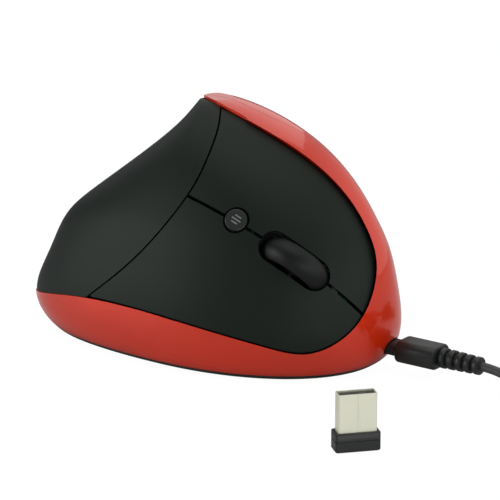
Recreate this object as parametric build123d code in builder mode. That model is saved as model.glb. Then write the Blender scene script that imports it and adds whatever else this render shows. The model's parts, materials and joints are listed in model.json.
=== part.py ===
from build123d import *
from math import cos, hypot, pi, radians, sin, sqrt
import os

os.makedirs("parts", exist_ok=True)

# Overall size of the mouse standing on its feet, millimetres
LENGTH = 123.0
WIDTH = 74.0
HEIGHT = 79.0
HALF_LENGTH = LENGTH / 2
HALF_WIDTH = WIDTH / 2

# Walls, gaps and clearances
RED_WALL = 2.0
COVER_WALL = 1.6
COVER_FLUSH = 0.3
COVER_RECESS = 1.3
PANEL_GAP = 0.4
DIVIDER_GAP = 0.85
PARTING_GAP = 0.12
SEAT_GAP = 0.1
RUNNING_FIT = 0.06
SCREW_FIT = 0.05
OVERRUN = 5.0

# Base plate and feet
FOOT_THICKNESS = 0.7
BASE_THICKNESS = 1.6
BASE_TOP = FOOT_THICKNESS + BASE_THICKNESS

# Level sections of the whole form, as shares of height, half length and half width.
# Each row holds the level, the front, rear, right and left reach, the place across of the
# foremost and rearmost points, and the place along of the rightmost and leftmost points.
SECTION_SHARES = (
    (0.000, 0.875, -0.825, -0.850, 0.855, 0.105, -0.500, -0.020, -0.070),
    (0.038, 0.940, -0.900, -0.955, 0.945, 0.110, -0.500, -0.020, -0.075),
    (0.127, 0.995, -1.000, -1.000, 1.000, 0.110, -0.485, -0.020, -0.075),
    (0.278, 1.000, -0.965, -0.970, 0.920, 0.120, -0.460, -0.010, -0.075),
    (0.430, 0.970, -0.885, -0.895, 0.800, 0.140, -0.405, -0.005, -0.075),
    (0.582, 0.880, -0.740, -0.790, 0.715, 0.170, -0.325, -0.015, -0.095),
    (0.722, 0.735, -0.525, -0.630, 0.675, 0.205, -0.200, -0.020, -0.125),
    (0.835, 0.550, -0.360, -0.440, 0.635, 0.245, -0.080, -0.045, -0.160),
    (0.918, 0.340, -0.265, -0.220, 0.570, 0.270, 0.045, -0.090, -0.190),
    (0.975, 0.115, -0.230, -0.005, 0.475, 0.270, 0.150, -0.110, -0.185),
    (1.004, -0.135, -0.225, 0.190, 0.310, 0.260, 0.250, -0.175, -0.180),
)
# Roundness of the four quarters of a section: 2 is an ellipse, more is squarer
ROUND_SHARES = {"left_front": 2.4, "front_right": 2.1, "right_rear": 2.1, "rear_left": 2.2}
QUARTER_POINTS = 8
# The small loop at the peak moves in by no more than this
TIP_SHIFT = 0.7


def section_row(level):
    """One row of the section table in millimetres."""
    share, front, rear, right, left, front_y, rear_y, right_x, left_x = SECTION_SHARES[level]
    along = [HALF_LENGTH * value for value in (front, rear, right_x, left_x)]
    across = [HALF_WIDTH * value for value in (right, left, front_y, rear_y)]
    return HEIGHT * share, along, across


def section_loop(level):
    """Points round one level, from the leftmost by the front, the right and the rear."""
    height, (front, rear, right_x, left_x), (right, left, front_y, rear_y) = section_row(level)
    quarters = (
        ("left_front", left_x, front_y, front - left_x, left - front_y, 0),
        ("front_right", right_x, front_y, front - right_x, right - front_y, 1),
        ("right_rear", right_x, rear_y, rear - right_x, right - rear_y, 0),
        ("rear_left", left_x, rear_y, rear - left_x, left - rear_y, 1),
    )
    points = []
    for name, centre_x, centre_y, reach_x, reach_y, from_end in quarters:
        power = 2 / ROUND_SHARES[name]
        for step in range(QUARTER_POINTS):
            turn = pi / 2 * step / QUARTER_POINTS
            rise, fall = sin(turn) ** power, cos(turn) ** power
            along, across = (fall, rise) if from_end else (rise, fall)
            points.append((centre_x + reach_x * along, centre_y + reach_y * across, height))
    return points


def surface_normal(loops, level, index):
    """Outward normal of the form at one point of the section table."""
    count = len(loops[level])
    before, after = loops[level][index - 1], loops[level][(index + 1) % count]
    low = loops[max(level - 1, 0)][index]
    high = loops[min(level + 1, len(loops) - 1)][index]
    round_way = Vector(*after) - Vector(*before)
    up_way = Vector(*high) - Vector(*low)
    return up_way.cross(round_way).normalized()


def recess_depth(normal):
    """How far the black covers lie under the red surface: deepest where it faces up and forward."""
    facing = (normal.X + normal.Z) / sqrt(2)
    share = min(max((facing - 0.5) / 0.45, 0), 1)
    return COVER_FLUSH + COVER_RECESS * share * share * (3 - 2 * share)


def cavity_depth(normal):
    """How far the hollow inside lies under the red surface."""
    return max(recess_depth(normal) + COVER_WALL, RED_WALL)


def inset_sections(depth_at, levels):
    """The level sections of the form that lies depth_at(normal) under the surface."""
    loops = [section_loop(level) for level in range(len(SECTION_SHARES))]
    top_drop = depth_at(Vector(0, 0, 1))
    sections = []
    for level, loop in enumerate(loops[:levels]):
        drop = top_drop * SECTION_SHARES[level][0]
        inner = []
        for index, (along, across, height) in enumerate(loop):
            normal = surface_normal(loops, level, index)
            steepness = hypot(normal.X, normal.Y)
            shift = (depth_at(normal) - drop * normal.Z) / steepness
            if level == len(loops) - 1:
                shift = max(min(shift, TIP_SHIFT), -TIP_SHIFT)
            inner.append((along - shift * normal.X / steepness, across - shift * normal.Y / steepness))
        sections.append((height - drop, inner))
    return sections


def even_parameters():
    """Where each point of a loop lies along it, as a share of the way, the same for all levels."""
    loops = [section_loop(level) for level in range(1, len(SECTION_SHARES) - 1)]
    steps = []
    for index in range(len(loops[0])):
        follower = (index + 1) % len(loops[0])
        spans = [(Vector(*loop[follower]) - Vector(*loop[index])).length for loop in loops]
        steps.append(sum(spans) / len(spans))
    return [sum(steps[:index]) / sum(steps) for index in range(len(steps) + 1)]


LOOP_PARAMETERS = even_parameters()


ALL_LEVELS = len(SECTION_SHARES)
LOWER_LEVELS = ALL_LEVELS - 1


def lofted_form(depth_at, levels=ALL_LEVELS):
    """Closed body through the level sections, cut flat at the peak."""
    top = HEIGHT - depth_at(Vector(0, 0, 1))
    with BuildPart() as body:
        for height, loop in inset_sections(depth_at, levels):
            with BuildSketch(Plane.XY.offset(height)):
                with BuildLine():
                    add(Edge.make_spline(loop, periodic=True, parameters=LOOP_PARAMETERS))
                make_face()
        loft()
        if levels == ALL_LEVELS:
            split(bisect_by=Plane.XY.offset(top), keep=Keep.BOTTOM)
    return body.part


def below_wall_middle(normal):
    """Depth of the middle of the walls, where ribs and bosses end that grow from them."""
    return max(recess_depth(normal) + COVER_WALL / 2, RED_WALL / 2)


outer_form = lofted_form(lambda normal: 0)
panel_form = lofted_form(recess_depth)
wall_form = lofted_form(below_wall_middle, LOWER_LEVELS)
cavity_form = lofted_form(cavity_depth, LOWER_LEVELS)
inner_form = lofted_form(lambda normal: cavity_depth(normal) + SEAT_GAP, LOWER_LEVELS)

# The panel plane lies on the click buttons. Its first way runs along the fingers to the nose,
# its second across them to the ridge, and its normal points out. Its origin is the middle of
# the small round button.
PANEL_AZIMUTH = -56.0
PANEL_ELEVATION = 34.0
FINGER_FALL = 33.4
PANEL_ORIGIN_SHARES = (0.37, -0.64, 0.642)
PANEL_NORMAL = Vector(
    cos(radians(PANEL_AZIMUTH)) * cos(radians(PANEL_ELEVATION)),
    sin(radians(PANEL_AZIMUTH)) * cos(radians(PANEL_ELEVATION)),
    sin(radians(PANEL_ELEVATION)),
)
LEVEL_WAY = Vector(-sin(radians(PANEL_AZIMUTH)), cos(radians(PANEL_AZIMUTH)), 0)
PANEL_ORIGIN = Vector(
    HALF_LENGTH * PANEL_ORIGIN_SHARES[0],
    HALF_WIDTH * PANEL_ORIGIN_SHARES[1],
    HEIGHT * PANEL_ORIGIN_SHARES[2],
)
UP_WAY = PANEL_NORMAL.cross(LEVEL_WAY)
FINGER_WAY = LEVEL_WAY * cos(radians(FINGER_FALL)) - UP_WAY * sin(radians(FINGER_FALL))
PANEL = Plane(PANEL_ORIGIN, x_dir=FINGER_WAY, z_dir=PANEL_NORMAL)

# Outline of the click panel and its seam to the palm cover, as shares of the panel's reach
PANEL_REACH = 0.4 * LENGTH
OUTLINE_SHARES = (
    (-0.606, 0.671), (-0.180, 0.648), (0.130, 0.630), (0.447, 0.569), (0.693, 0.461),
    (0.858, 0.331), (0.955, 0.160), (0.996, -0.070), (0.960, -0.252), (0.840, -0.430),
    (0.600, -0.548), (0.140, -0.672), (-0.320, -0.757), (-0.671, -0.821),
)
SEAM_SHARES = (
    (-0.606, 0.671), (-0.518, 0.530), (-0.439, 0.327), (-0.390, 0.104), (-0.392, -0.100),
    (-0.453, -0.400), (-0.533, -0.593), (-0.671, -0.821),
)
SEAM_END_SHARES = ((-0.700, 0.810), (-0.790, -1.010))
FAR_SHARE = 1.6


def panel_points(shares):
    """Places in the panel plane from shares of the panel's reach."""
    return [(PANEL_REACH * along, PANEL_REACH * across) for along, across in shares]


ZONE_ABOVE = 0.4 * HALF_WIDTH
ZONE_BELOW = 1.3 * HALF_WIDTH


def panel_outline(gap):
    """Points of the panel's border and of its seam, moved in by gap all round."""
    border, seam = panel_points(OUTLINE_SHARES), panel_points(SEAM_SHARES)
    loop = border + seam[-2:0:-1]
    moved = []
    for index, (along, across) in enumerate(loop):
        before, after = loop[index - 1], loop[(index + 1) % len(loop)]
        way_in = Vector(along - before[0], across - before[1]).normalized()
        way_out = Vector(after[0] - along, after[1] - across).normalized()
        middle = (way_in + way_out).normalized()
        shift = gap / middle.dot(way_in)
        moved.append((along + shift * middle.Y, across - shift * middle.X))
    return moved[:len(border)], [moved[0], *moved[:len(border) - 2:-1]]


def click_zone(gap):
    """Prism of the click panel, square to the panel plane, smaller by gap all round."""
    border, seam = panel_outline(gap)
    with BuildPart() as zone:
        with BuildSketch(PANEL) as outline:
            with BuildLine():
                Spline(*border)
                Spline(*seam)
            make_face()
        extrude(outline.sketch, amount=ZONE_ABOVE)
        extrude(outline.sketch, amount=-ZONE_BELOW)
    return zone.part


def seam_zone():
    """Everything ahead of the seam between palm cover and click buttons."""
    first, last = SEAM_END_SHARES
    with BuildPart() as zone:
        with BuildSketch(PANEL) as outline:
            with BuildLine():
                seam = Spline(*panel_points((first, *SEAM_SHARES, last)))
                corners = panel_points(((FAR_SHARE, -FAR_SHARE), (FAR_SHARE, FAR_SHARE)))
                Polyline(seam @ 1, *corners, seam @ 0)
            make_face()
        extrude(outline.sketch, amount=ZONE_ABOVE + ZONE_BELOW)
        extrude(outline.sketch, amount=-ZONE_ABOVE - ZONE_BELOW)
    return zone.part


# Plan of the parting between the thumb side and the frame, rear to front, and of the palm
# cover's edge at the peak, as shares of half length and half width
PARTING_SHARES = (
    (-1.200, 0.270), (-0.800, 0.270), (-0.300, 0.270), (-0.080, 0.262), (0.160, 0.240),
    (0.310, 0.287), (0.490, 0.332), (0.650, 0.370), (0.850, 0.418), (1.200, 0.510),
)
PALM_EDGE_SHARES = (
    (-1.200, 0.270), (-0.800, 0.270), (-0.300, 0.270), (-0.220, 0.230), (-0.160, 0.175),
    (-0.100, 0.132), (-0.020, 0.102), (0.080, 0.080), (0.130, 0.068),
)
# Side view of the palm cover's lower edge, as shares of half length and height
BAND_SHARES = (
    (-1.150, 0.130), (-0.900, 0.166), (-0.735, 0.194), (-0.480, 0.225), (-0.200, 0.235),
    (0.100, 0.224), (0.400, 0.180),
)


def plan_zone(shares, side_share, shift):
    """Upright prism on one side of a plan curve, which is moved across by shift."""
    points = [(HALF_LENGTH * along, HALF_WIDTH * across + shift) for along, across in shares]
    far = HALF_WIDTH * side_share
    with BuildPart() as zone:
        with BuildSketch():
            with BuildLine():
                Spline(*points)
                Polyline(points[-1], (points[-1][0], far), (points[0][0], far), points[0])
            make_face()
        extrude(amount=HEIGHT + OVERRUN, both=True)
    return zone.part


def band_zone(shift):
    """Everything above the band's upper edge in the side view, its edge moved up by shift."""
    points = [(HALF_LENGTH * along, HEIGHT * rise + shift) for along, rise in BAND_SHARES]
    top = HEIGHT + OVERRUN
    with BuildPart() as zone:
        with BuildSketch(Plane.XZ):
            with BuildLine():
                Spline(*points)
                Polyline(points[-1], (points[-1][0], top), (points[0][0], top), points[0])
            make_face()
        extrude(amount=WIDTH, both=True)
    return zone.part


def palm_zone(gap):
    """Where the palm cover lies: right of the parting, above the band."""
    with BuildPart() as zone:
        add(plan_zone(PALM_EDGE_SHARES, -FAR_SHARE, -gap))
        add(band_zone(gap), mode=Mode.INTERSECT)
    return zone.part


ahead_of_seam = seam_zone()
full_click_zone = click_zone(0)
thumb_zone = plan_zone(PARTING_SHARES, FAR_SHARE, 0)
frame_zone = plan_zone(PARTING_SHARES, -FAR_SHARE, -PARTING_GAP)

# Planes square to the fingers' way, for pins and the wheel: their first way is the fingers'
# way and their second points into the mouse
ACROSS = Plane(PANEL_ORIGIN, x_dir=FINGER_WAY, z_dir=PANEL.y_dir)
# Upright planes looking along the thumb side: first way forward, second way down
SIDE = Plane((0, 0, 0), x_dir=(1, 0, 0), z_dir=(0, 1, 0))


def block(plane, along, across, levels):
    """Block on a plane, given by where it starts and ends along, across and over the plane."""
    with BuildPart() as body:
        with BuildSketch(plane.offset(levels[0])):
            with Locations((sum(along) / 2, sum(across) / 2)):
                Rectangle(along[1] - along[0], across[1] - across[0])
        extrude(amount=levels[1] - levels[0])
    return body.part


def drum(plane, place, radius, levels, bore=0):
    """Round pin or boss on a plane at a place, from one level over the plane to another."""
    with BuildPart() as body:
        with BuildSketch(plane.offset(levels[0])):
            with Locations(place):
                Circle(radius)
                if bore:
                    Circle(bore, mode=Mode.SUBTRACT)
        extrude(amount=levels[1] - levels[0])
    return body.part


def about(centre, half):
    """From and to of a stretch about its middle."""
    return (centre - half, centre + half)


def keep_part(name, piece):
    """Name a finished piece and write it to its file."""
    piece.part.label = name
    export_step(piece.part, "parts/" + name + ".step")
    solids = piece.part.solids()
    print(name, piece.part.is_valid, len(solids), round(sum(solid.volume for solid in solids)))


# Screws
SCREW_RADIUS = 1.0
SCREW_HOLE = SCREW_RADIUS + SCREW_FIT
SCREW_PASS = 1.2
SCREW_HEAD_RADIUS = 1.9
SCREW_HEAD = 1.1
BASE_SCREW_HEAD = 0.9
BASE_SCREW_LENGTH = 6.5
BOSS_RADIUS = 3.0
BOSS_HEIGHT = 8.5
BOARD_BOSS_RADIUS = 2.5
BOARD_SCREW_REACH = 4.0
RIGHT_SCREWS = ((10.0, -27.0), (-40.0, -25.5))
LEFT_SCREWS = ((30.0, 24.0), (-36.0, 17.0))
BOSS_WEB = 1.2
BOSS_WEB_REACH = 16.0
BOSS_WEB_HEIGHT = 6.0

# Thumb side
THUMB_BUTTON_ALONG = {"forward_button": (8.5, 28.0), "back_button": (-15.0, 5.5)}
THUMB_BUTTON_RISE = (49.0, 56.0)
THUMB_BUTTON_CORNER = 3.0
THUMB_BUTTON_GAP = 0.3
THUMB_BUTTON_PROUD = 0.9
THUMB_BUTTON_DEPTH = 3.3
THUMB_FLANGE_TOP = 2.4
THUMB_FLANGE_WIDTH = 1.0
THUMB_STEM_RADIUS = 1.5
THUMB_BOARD_ALONG = (-16.5, 28.0)
THUMB_BOARD_RISE = (42.5, 56.5)
THUMB_BOARD_FACE = 14.2
THUMB_BOARD_BACK = 13.0
THUMB_BOSSES = ((-12.5, 45.5), (24.5, 45.5), (6.0, 45.5))
THUMB_SWITCH_HALF = 3.0
THUMB_SWITCH_TOP = 17.9
THUMB_STEM_END = 18.15
THUMB_TRAVEL = 0.3

# Nose hole for the charging plug
PLUG_ACROSS = 9.2
PLUG_RISE = 7.2
NECK_WIDTH = 8.0
NECK_HEIGHT = 4.2
NECK_GAP = 0.4
NOSE_HOLE_BACK = 50.0


def shell_bosses(places):
    """Screw bosses and their webs, from the base plate up, inside the shell walls."""
    with BuildPart() as bosses:
        for along, across in places:
            outward = 1 if across > 0 else -1
            add(drum(Plane.XY, (along, across), BOSS_RADIUS, (BASE_TOP, BASE_TOP + BOSS_HEIGHT)))
            web = sorted((across, across + outward * BOSS_WEB_REACH))
            add(block(Plane.XY, about(along, BOSS_WEB / 2), web, (BASE_TOP, BASE_TOP + BOSS_WEB_HEIGHT)))
        add(wall_form, mode=Mode.INTERSECT)
        for place in places:
            bore = (BASE_TOP - OVERRUN, BASE_TOP + BASE_SCREW_LENGTH)
            add(drum(Plane.XY, place, SCREW_HOLE, bore), mode=Mode.SUBTRACT)
    return bosses.part


def thumb_outline(name, grow):
    """Rounded outline of a thumb button on the upright plane, larger by grow all round."""
    first, last = THUMB_BUTTON_ALONG[name]
    low, high = THUMB_BUTTON_RISE
    with BuildSketch(SIDE) as outline:
        with Locations(((first + last) / 2, -(low + high) / 2)):
            RectangleRounded(last - first + 2 * grow, high - low + 2 * grow, THUMB_BUTTON_CORNER + grow)
    return outline.sketch


def shifted(form, across):
    """The form moved across the mouse."""
    return form.moved(Location((0, across, 0)))


with BuildPart() as red_shell:
    add(outer_form)
    add(cavity_form, mode=Mode.SUBTRACT)
    split(bisect_by=Plane.XY.offset(BASE_TOP), keep=Keep.TOP)

with BuildPart() as cover_shell:
    add(panel_form)
    add(cavity_form, mode=Mode.SUBTRACT)

with BuildPart() as thumb_bosses:
    for place in THUMB_BOSSES:
        down = (place[0], -place[1])
        add(drum(SIDE, down, BOARD_BOSS_RADIUS, (THUMB_BOARD_FACE, HALF_WIDTH)))
    add(wall_form, mode=Mode.INTERSECT)
    for place in THUMB_BOSSES:
        down = (place[0], -place[1])
        bore = (THUMB_BOARD_BACK, THUMB_BOARD_FACE + BOARD_SCREW_REACH)
        add(drum(SIDE, down, SCREW_HOLE, bore), mode=Mode.SUBTRACT)

with BuildPart() as left_shell:
    add(red_shell.part)
    add(thumb_zone, mode=Mode.INTERSECT)
    for name in THUMB_BUTTON_ALONG:
        extrude(thumb_outline(name, 0), amount=WIDTH, mode=Mode.SUBTRACT)
    add(shell_bosses(LEFT_SCREWS))
    add(thumb_bosses.part)
keep_part("left_shell", left_shell)

with BuildPart() as right_frame:
    add(red_shell.part)
    add(frame_zone, mode=Mode.INTERSECT)
    add(palm_zone(0), mode=Mode.SUBTRACT)
    add(full_click_zone, mode=Mode.SUBTRACT)
    with BuildSketch(Plane.YZ.offset(NOSE_HOLE_BACK)):
        with Locations((PLUG_ACROSS, PLUG_RISE)):
            SlotOverall(NECK_WIDTH + 2 * NECK_GAP, NECK_HEIGHT + 2 * NECK_GAP)
    extrude(amount=HALF_LENGTH - NOSE_HOLE_BACK + OVERRUN, mode=Mode.SUBTRACT)
    add(shell_bosses(RIGHT_SCREWS))
keep_part("right_frame", right_frame)

with BuildPart() as palm_cover:
    add(cover_shell.part)
    add(palm_zone(SEAT_GAP), mode=Mode.INTERSECT)
    add(frame_zone, mode=Mode.INTERSECT)
    add(ahead_of_seam, mode=Mode.SUBTRACT)
keep_part("palm_cover", palm_cover)

# Wheel
WHEEL_ALONG = 22.6
WHEEL_ACROSS = -0.8
WHEEL_LEVEL = -7.6
WHEEL_RADIUS = 12.5
TYRE_BORE = 10.0
TYRE_WIDTH = 8.3
TYRE_ROUND = 1.9
HUB_WIDTH = 6.0
HUB_LIP = 0.35
HUB_HOLLOW_RADIUS = 8.4
HUB_WEB = 2.0
HUB_BOSS_RADIUS = 2.8
PIN_RADIUS = 1.3
BORE_RADIUS = PIN_RADIUS + RUNNING_FIT
AXLE_REACH = (-9.3, 10.2)
WHEEL_GAP = 0.5
AXLE = ACROSS.offset(WHEEL_ACROSS)
WHEEL_SPOT = (WHEEL_ALONG, -WHEEL_LEVEL)
AXLE_PLANE = Plane(AXLE.from_local_coords(Vector(*WHEEL_SPOT, 0)), x_dir=FINGER_WAY, z_dir=AXLE.z_dir)

# Click buttons
BUTTON_SPLIT = -0.6
SLOT_LENGTH = 25.6
SLOT_WIDTH = 9.8
DPI_HOLE_RADIUS = 4.05
OPENING_DEPTH = 25.0
PIVOT_ALONG = -13.0
PIVOT_LEVEL = -15.0
PRESS_ALONG = 8.0
PRESS_LEVEL = -8.9
PRESS_RIB_LENGTH = 5.0
PRESS_RIB_WIDTH = 1.2
BUTTONS = {
    "upper_button": {"pin": (6.2, 17.8), "rib": (10.0, 14.0), "eyes": (8.0, 16.0), "press": 11.5},
    "lower_button": {"pin": (-13.0, -2.6), "rib": (-9.2, -6.3), "eyes": (-4.5, -11.0), "press": -12.6},
}

with BuildPart() as click_panel:
    add(cover_shell.part)
    add(click_zone(PANEL_GAP), mode=Mode.INTERSECT)
    add(frame_zone, mode=Mode.INTERSECT)
    with BuildSketch(PANEL.offset(ZONE_ABOVE)) as openings:
        with Locations((WHEEL_ALONG, WHEEL_ACROSS)):
            SlotOverall(SLOT_LENGTH, SLOT_WIDTH)
        Circle(DPI_HOLE_RADIUS)
        with Locations((0, BUTTON_SPLIT)):
            Rectangle(2 * FAR_SHARE * PANEL_REACH, DIVIDER_GAP)
    extrude(amount=-ZONE_ABOVE - OPENING_DEPTH, mode=Mode.SUBTRACT)
    well = about(0, TYRE_WIDTH / 2 + WHEEL_GAP)
    add(drum(AXLE_PLANE, (0, 0), WHEEL_RADIUS + WHEEL_GAP, well), mode=Mode.SUBTRACT)


def click_half(keep):
    """The half of the click panel on one side of the line between the buttons."""
    centre = ACROSS.offset(BUTTON_SPLIT).origin
    halves = click_panel.part.solids().sort_by(Axis(centre, ACROSS.z_dir))
    return halves[-1] if keep == Keep.TOP else halves[0]


def click_button(name, keep):
    """One click button: its half of the panel, pivot pin with rib, and the rib that presses."""
    sizes = BUTTONS[name]
    pivot = (PIVOT_ALONG, -PIVOT_LEVEL)
    with BuildPart() as ribs:
        add(block(PANEL, about(PIVOT_ALONG, PIN_RADIUS), sizes["rib"], (PIVOT_LEVEL, ZONE_ABOVE)))
        along, across = PRESS_RIB_LENGTH / 2, PRESS_RIB_WIDTH / 2
        levels = (PRESS_LEVEL, ZONE_ABOVE)
        add(block(PANEL, about(PRESS_ALONG, along), about(sizes["press"], across), levels))
        add(block(PANEL, about(PRESS_ALONG, across), about(sizes["press"], along), levels))
        add(wall_form, mode=Mode.INTERSECT)
    with BuildPart() as button:
        add(click_half(keep))
        add(ribs.part)
        add(drum(ACROSS, pivot, PIN_RADIUS, sizes["pin"]))
    return button


upper_button = click_button("upper_button", Keep.TOP)
keep_part("upper_button", upper_button)
lower_button = click_button("lower_button", Keep.BOTTOM)
keep_part("lower_button", lower_button)

# Wheel tyre and hub, round the axle
WHEEL_PROFILE = Plane(AXLE_PLANE.origin, x_dir=FINGER_WAY, z_dir=AXLE_PLANE.x_dir.cross(AXLE_PLANE.z_dir))

with BuildPart() as wheel_tyre:
    with BuildSketch(WHEEL_PROFILE):
        with Locations(((TYRE_BORE + WHEEL_RADIUS) / 2, 0)):
            tyre_profile = Rectangle(WHEEL_RADIUS - TYRE_BORE, TYRE_WIDTH)
        outer_corners = tyre_profile.vertices().sort_by(Axis(AXLE_PLANE.origin, FINGER_WAY))[-2:]
        fillet(outer_corners, TYRE_ROUND)
    revolve(axis=Axis(AXLE_PLANE.origin, AXLE_PLANE.z_dir))
keep_part("wheel_tyre", wheel_tyre)

with BuildPart() as wheel_hub:
    add(drum(AXLE_PLANE, (0, 0), TYRE_BORE, about(0, HUB_WIDTH / 2)))
    for side in (1, -1):
        hollow = sorted((side * HUB_WEB / 2, side * HUB_WIDTH))
        add(drum(AXLE_PLANE, (0, 0), HUB_HOLLOW_RADIUS, hollow, HUB_BOSS_RADIUS), mode=Mode.SUBTRACT)
    add(drum(AXLE_PLANE, (0, 0), PIN_RADIUS, AXLE_REACH))
keep_part("wheel_hub", wheel_hub)

# Wheel carriage, which slides down onto its switch
CARRIAGE_LEVELS = (-14.6, -12.0)
CARRIAGE_INSIDE = (12.6, 5.4)
CARRIAGE_OUTSIDE = (15.0, 8.0)
LUG_ACROSS = (5.4, 8.0)
LUG_HALF = 3.5
LUG_TOP = -4.6
SHELF_END = 13.0
GUIDE_OFFSET = 13.8
GUIDE_RADIUS = 1.5
GUIDE_END = -20.6
ENCODER_ACROSS = (8.1, 12.6)
ENCODER_HALF = 4.0
ENCODER_TOP = -3.9

with BuildPart() as wheel_carriage:
    with BuildSketch(PANEL.offset(CARRIAGE_LEVELS[0])):
        with Locations((WHEEL_ALONG, WHEEL_ACROSS)):
            Rectangle(2 * CARRIAGE_OUTSIDE[0], 2 * CARRIAGE_OUTSIDE[1])
            Rectangle(2 * CARRIAGE_INSIDE[0], 2 * CARRIAGE_INSIDE[1], mode=Mode.SUBTRACT)
    extrude(amount=CARRIAGE_LEVELS[1] - CARRIAGE_LEVELS[0])
    lug_along = about(WHEEL_ALONG, LUG_HALF)
    for side in (1, -1):
        across = sorted(WHEEL_ACROSS + side * value for value in LUG_ACROSS)
        add(block(PANEL, lug_along, across, (CARRIAGE_LEVELS[0], LUG_TOP)))
        guide = (WHEEL_ALONG + side * GUIDE_OFFSET, WHEEL_ACROSS)
        add(drum(PANEL, guide, GUIDE_RADIUS, (GUIDE_END, CARRIAGE_LEVELS[0])))
    shelf = (WHEEL_ACROSS + CARRIAGE_INSIDE[1], WHEEL_ACROSS + SHELF_END)
    add(block(PANEL, about(WHEEL_ALONG, ENCODER_HALF), shelf, CARRIAGE_LEVELS))
    add(drum(AXLE_PLANE, (0, 0), BORE_RADIUS, about(0, SHELF_END)), mode=Mode.SUBTRACT)
keep_part("wheel_carriage", wheel_carriage)

with BuildPart() as wheel_encoder:
    across = [WHEEL_ACROSS + value for value in ENCODER_ACROSS]
    add(block(PANEL, about(WHEEL_ALONG, ENCODER_HALF), across, (CARRIAGE_LEVELS[1], ENCODER_TOP)))
    add(drum(AXLE_PLANE, (0, 0), BORE_RADIUS, about(0, SHELF_END)), mode=Mode.SUBTRACT)
keep_part("wheel_encoder", wheel_encoder)

# Board under the buttons, with its switches
BOARD_LEVELS = (-17.2, -16.0)
BOARD_ALONG = (-9.0, 41.0)
BOARD_ACROSS = (-19.0, 20.0)
BOARD_SLOT = (10.8, 5.2)
GUIDE_PASS = 1.8
BOARD_BOSSES = ((-6.0, 16.0), (-6.0, -16.0), (38.0, 16.0), (38.0, -16.0))
CLICK_SWITCH_LENGTH = 12.8
CLICK_SWITCH_WIDTH = 5.8
CLICK_SWITCH_TOP = -9.5
PLUNGER_LENGTH = 2.8
PLUNGER_WIDTH = 1.2
PLUNGER_TOP = -8.95
PLUNGER_FOOT = -10.2
PLUNGER_POCKET = -10.75
DPI_SWITCH_HALF = 3.0
DPI_SWITCH_TOP = -12.35
WHEEL_SWITCH_PLACE = (36.4, 5.0)
WHEEL_SWITCH_HALF = 2.25
WHEEL_SWITCH_TOP = -15.05

with BuildPart() as button_board:
    add(block(PANEL, BOARD_ALONG, BOARD_ACROSS, BOARD_LEVELS))
    add(inner_form, mode=Mode.INTERSECT)
    cut_levels = (BOARD_LEVELS[0] - OVERRUN, BOARD_LEVELS[1] + OVERRUN)
    slot_along, slot_across = about(WHEEL_ALONG, BOARD_SLOT[0]), about(WHEEL_ACROSS, BOARD_SLOT[1])
    add(block(PANEL, slot_along, slot_across, cut_levels), mode=Mode.SUBTRACT)
    for side in (1, -1):
        guide = (WHEEL_ALONG + side * GUIDE_OFFSET, WHEEL_ACROSS)
        add(drum(PANEL, guide, GUIDE_PASS, cut_levels), mode=Mode.SUBTRACT)
    for place in BOARD_BOSSES:
        add(drum(PANEL, place, SCREW_PASS, cut_levels), mode=Mode.SUBTRACT)
keep_part("button_board", button_board)

for button, name in (("upper_button", "upper"), ("lower_button", "lower")):
    press = BUTTONS[button]["press"]
    with BuildPart() as click_switch:
        along = about(PRESS_ALONG, CLICK_SWITCH_LENGTH / 2)
        across = about(press, CLICK_SWITCH_WIDTH / 2)
        add(block(PANEL, along, across, (BOARD_LEVELS[1], CLICK_SWITCH_TOP)))
        pocket_along = about(PRESS_ALONG, PLUNGER_LENGTH / 2 + SCREW_FIT)
        pocket_across = about(press, PLUNGER_WIDTH / 2 + SCREW_FIT)
        pocket = (PLUNGER_POCKET, CLICK_SWITCH_TOP + OVERRUN)
        add(block(PANEL, pocket_along, pocket_across, pocket), mode=Mode.SUBTRACT)
    keep_part(name + "_switch", click_switch)
    with BuildPart() as plunger:
        along = about(PRESS_ALONG, PLUNGER_LENGTH / 2)
        across = about(press, PLUNGER_WIDTH / 2)
        add(block(PANEL, along, across, (PLUNGER_FOOT, PLUNGER_TOP)))
    keep_part(name + "_plunger", plunger)

with BuildPart() as dpi_switch:
    half = about(0, DPI_SWITCH_HALF)
    add(block(PANEL, half, half, (BOARD_LEVELS[1], DPI_SWITCH_TOP)))
keep_part("dpi_switch", dpi_switch)

with BuildPart() as wheel_switch:
    along = about(WHEEL_SWITCH_PLACE[0], WHEEL_SWITCH_HALF)
    across = about(WHEEL_SWITCH_PLACE[1], WHEEL_SWITCH_HALF)
    add(block(PANEL, along, across, (BOARD_LEVELS[1], WHEEL_SWITCH_TOP)))
keep_part("wheel_switch", wheel_switch)

# Small round button on the line between the click buttons
DPI_RADIUS = 3.6
DPI_TOP = 0.1
DPI_CAP_FOOT = -6.2
DPI_FLANGE_RADIUS = 4.6
DPI_FLANGE_FOOT = -7.0
DPI_STEM_RADIUS = 1.3
DPI_STEM_END = -12.05
DPI_EDGE = 0.5

with BuildPart() as dpi_button:
    add(drum(PANEL, (0, 0), DPI_RADIUS, (DPI_CAP_FOOT, DPI_TOP)))
    fillet(edges().group_by(Axis(PANEL_ORIGIN, PANEL_NORMAL))[-1], DPI_EDGE)
    add(drum(PANEL, (0, 0), DPI_FLANGE_RADIUS, (DPI_FLANGE_FOOT, DPI_CAP_FOOT)))
    add(drum(PANEL, (0, 0), DPI_STEM_RADIUS, (DPI_STEM_END, DPI_FLANGE_FOOT)))
keep_part("dpi_button", dpi_button)

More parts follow.
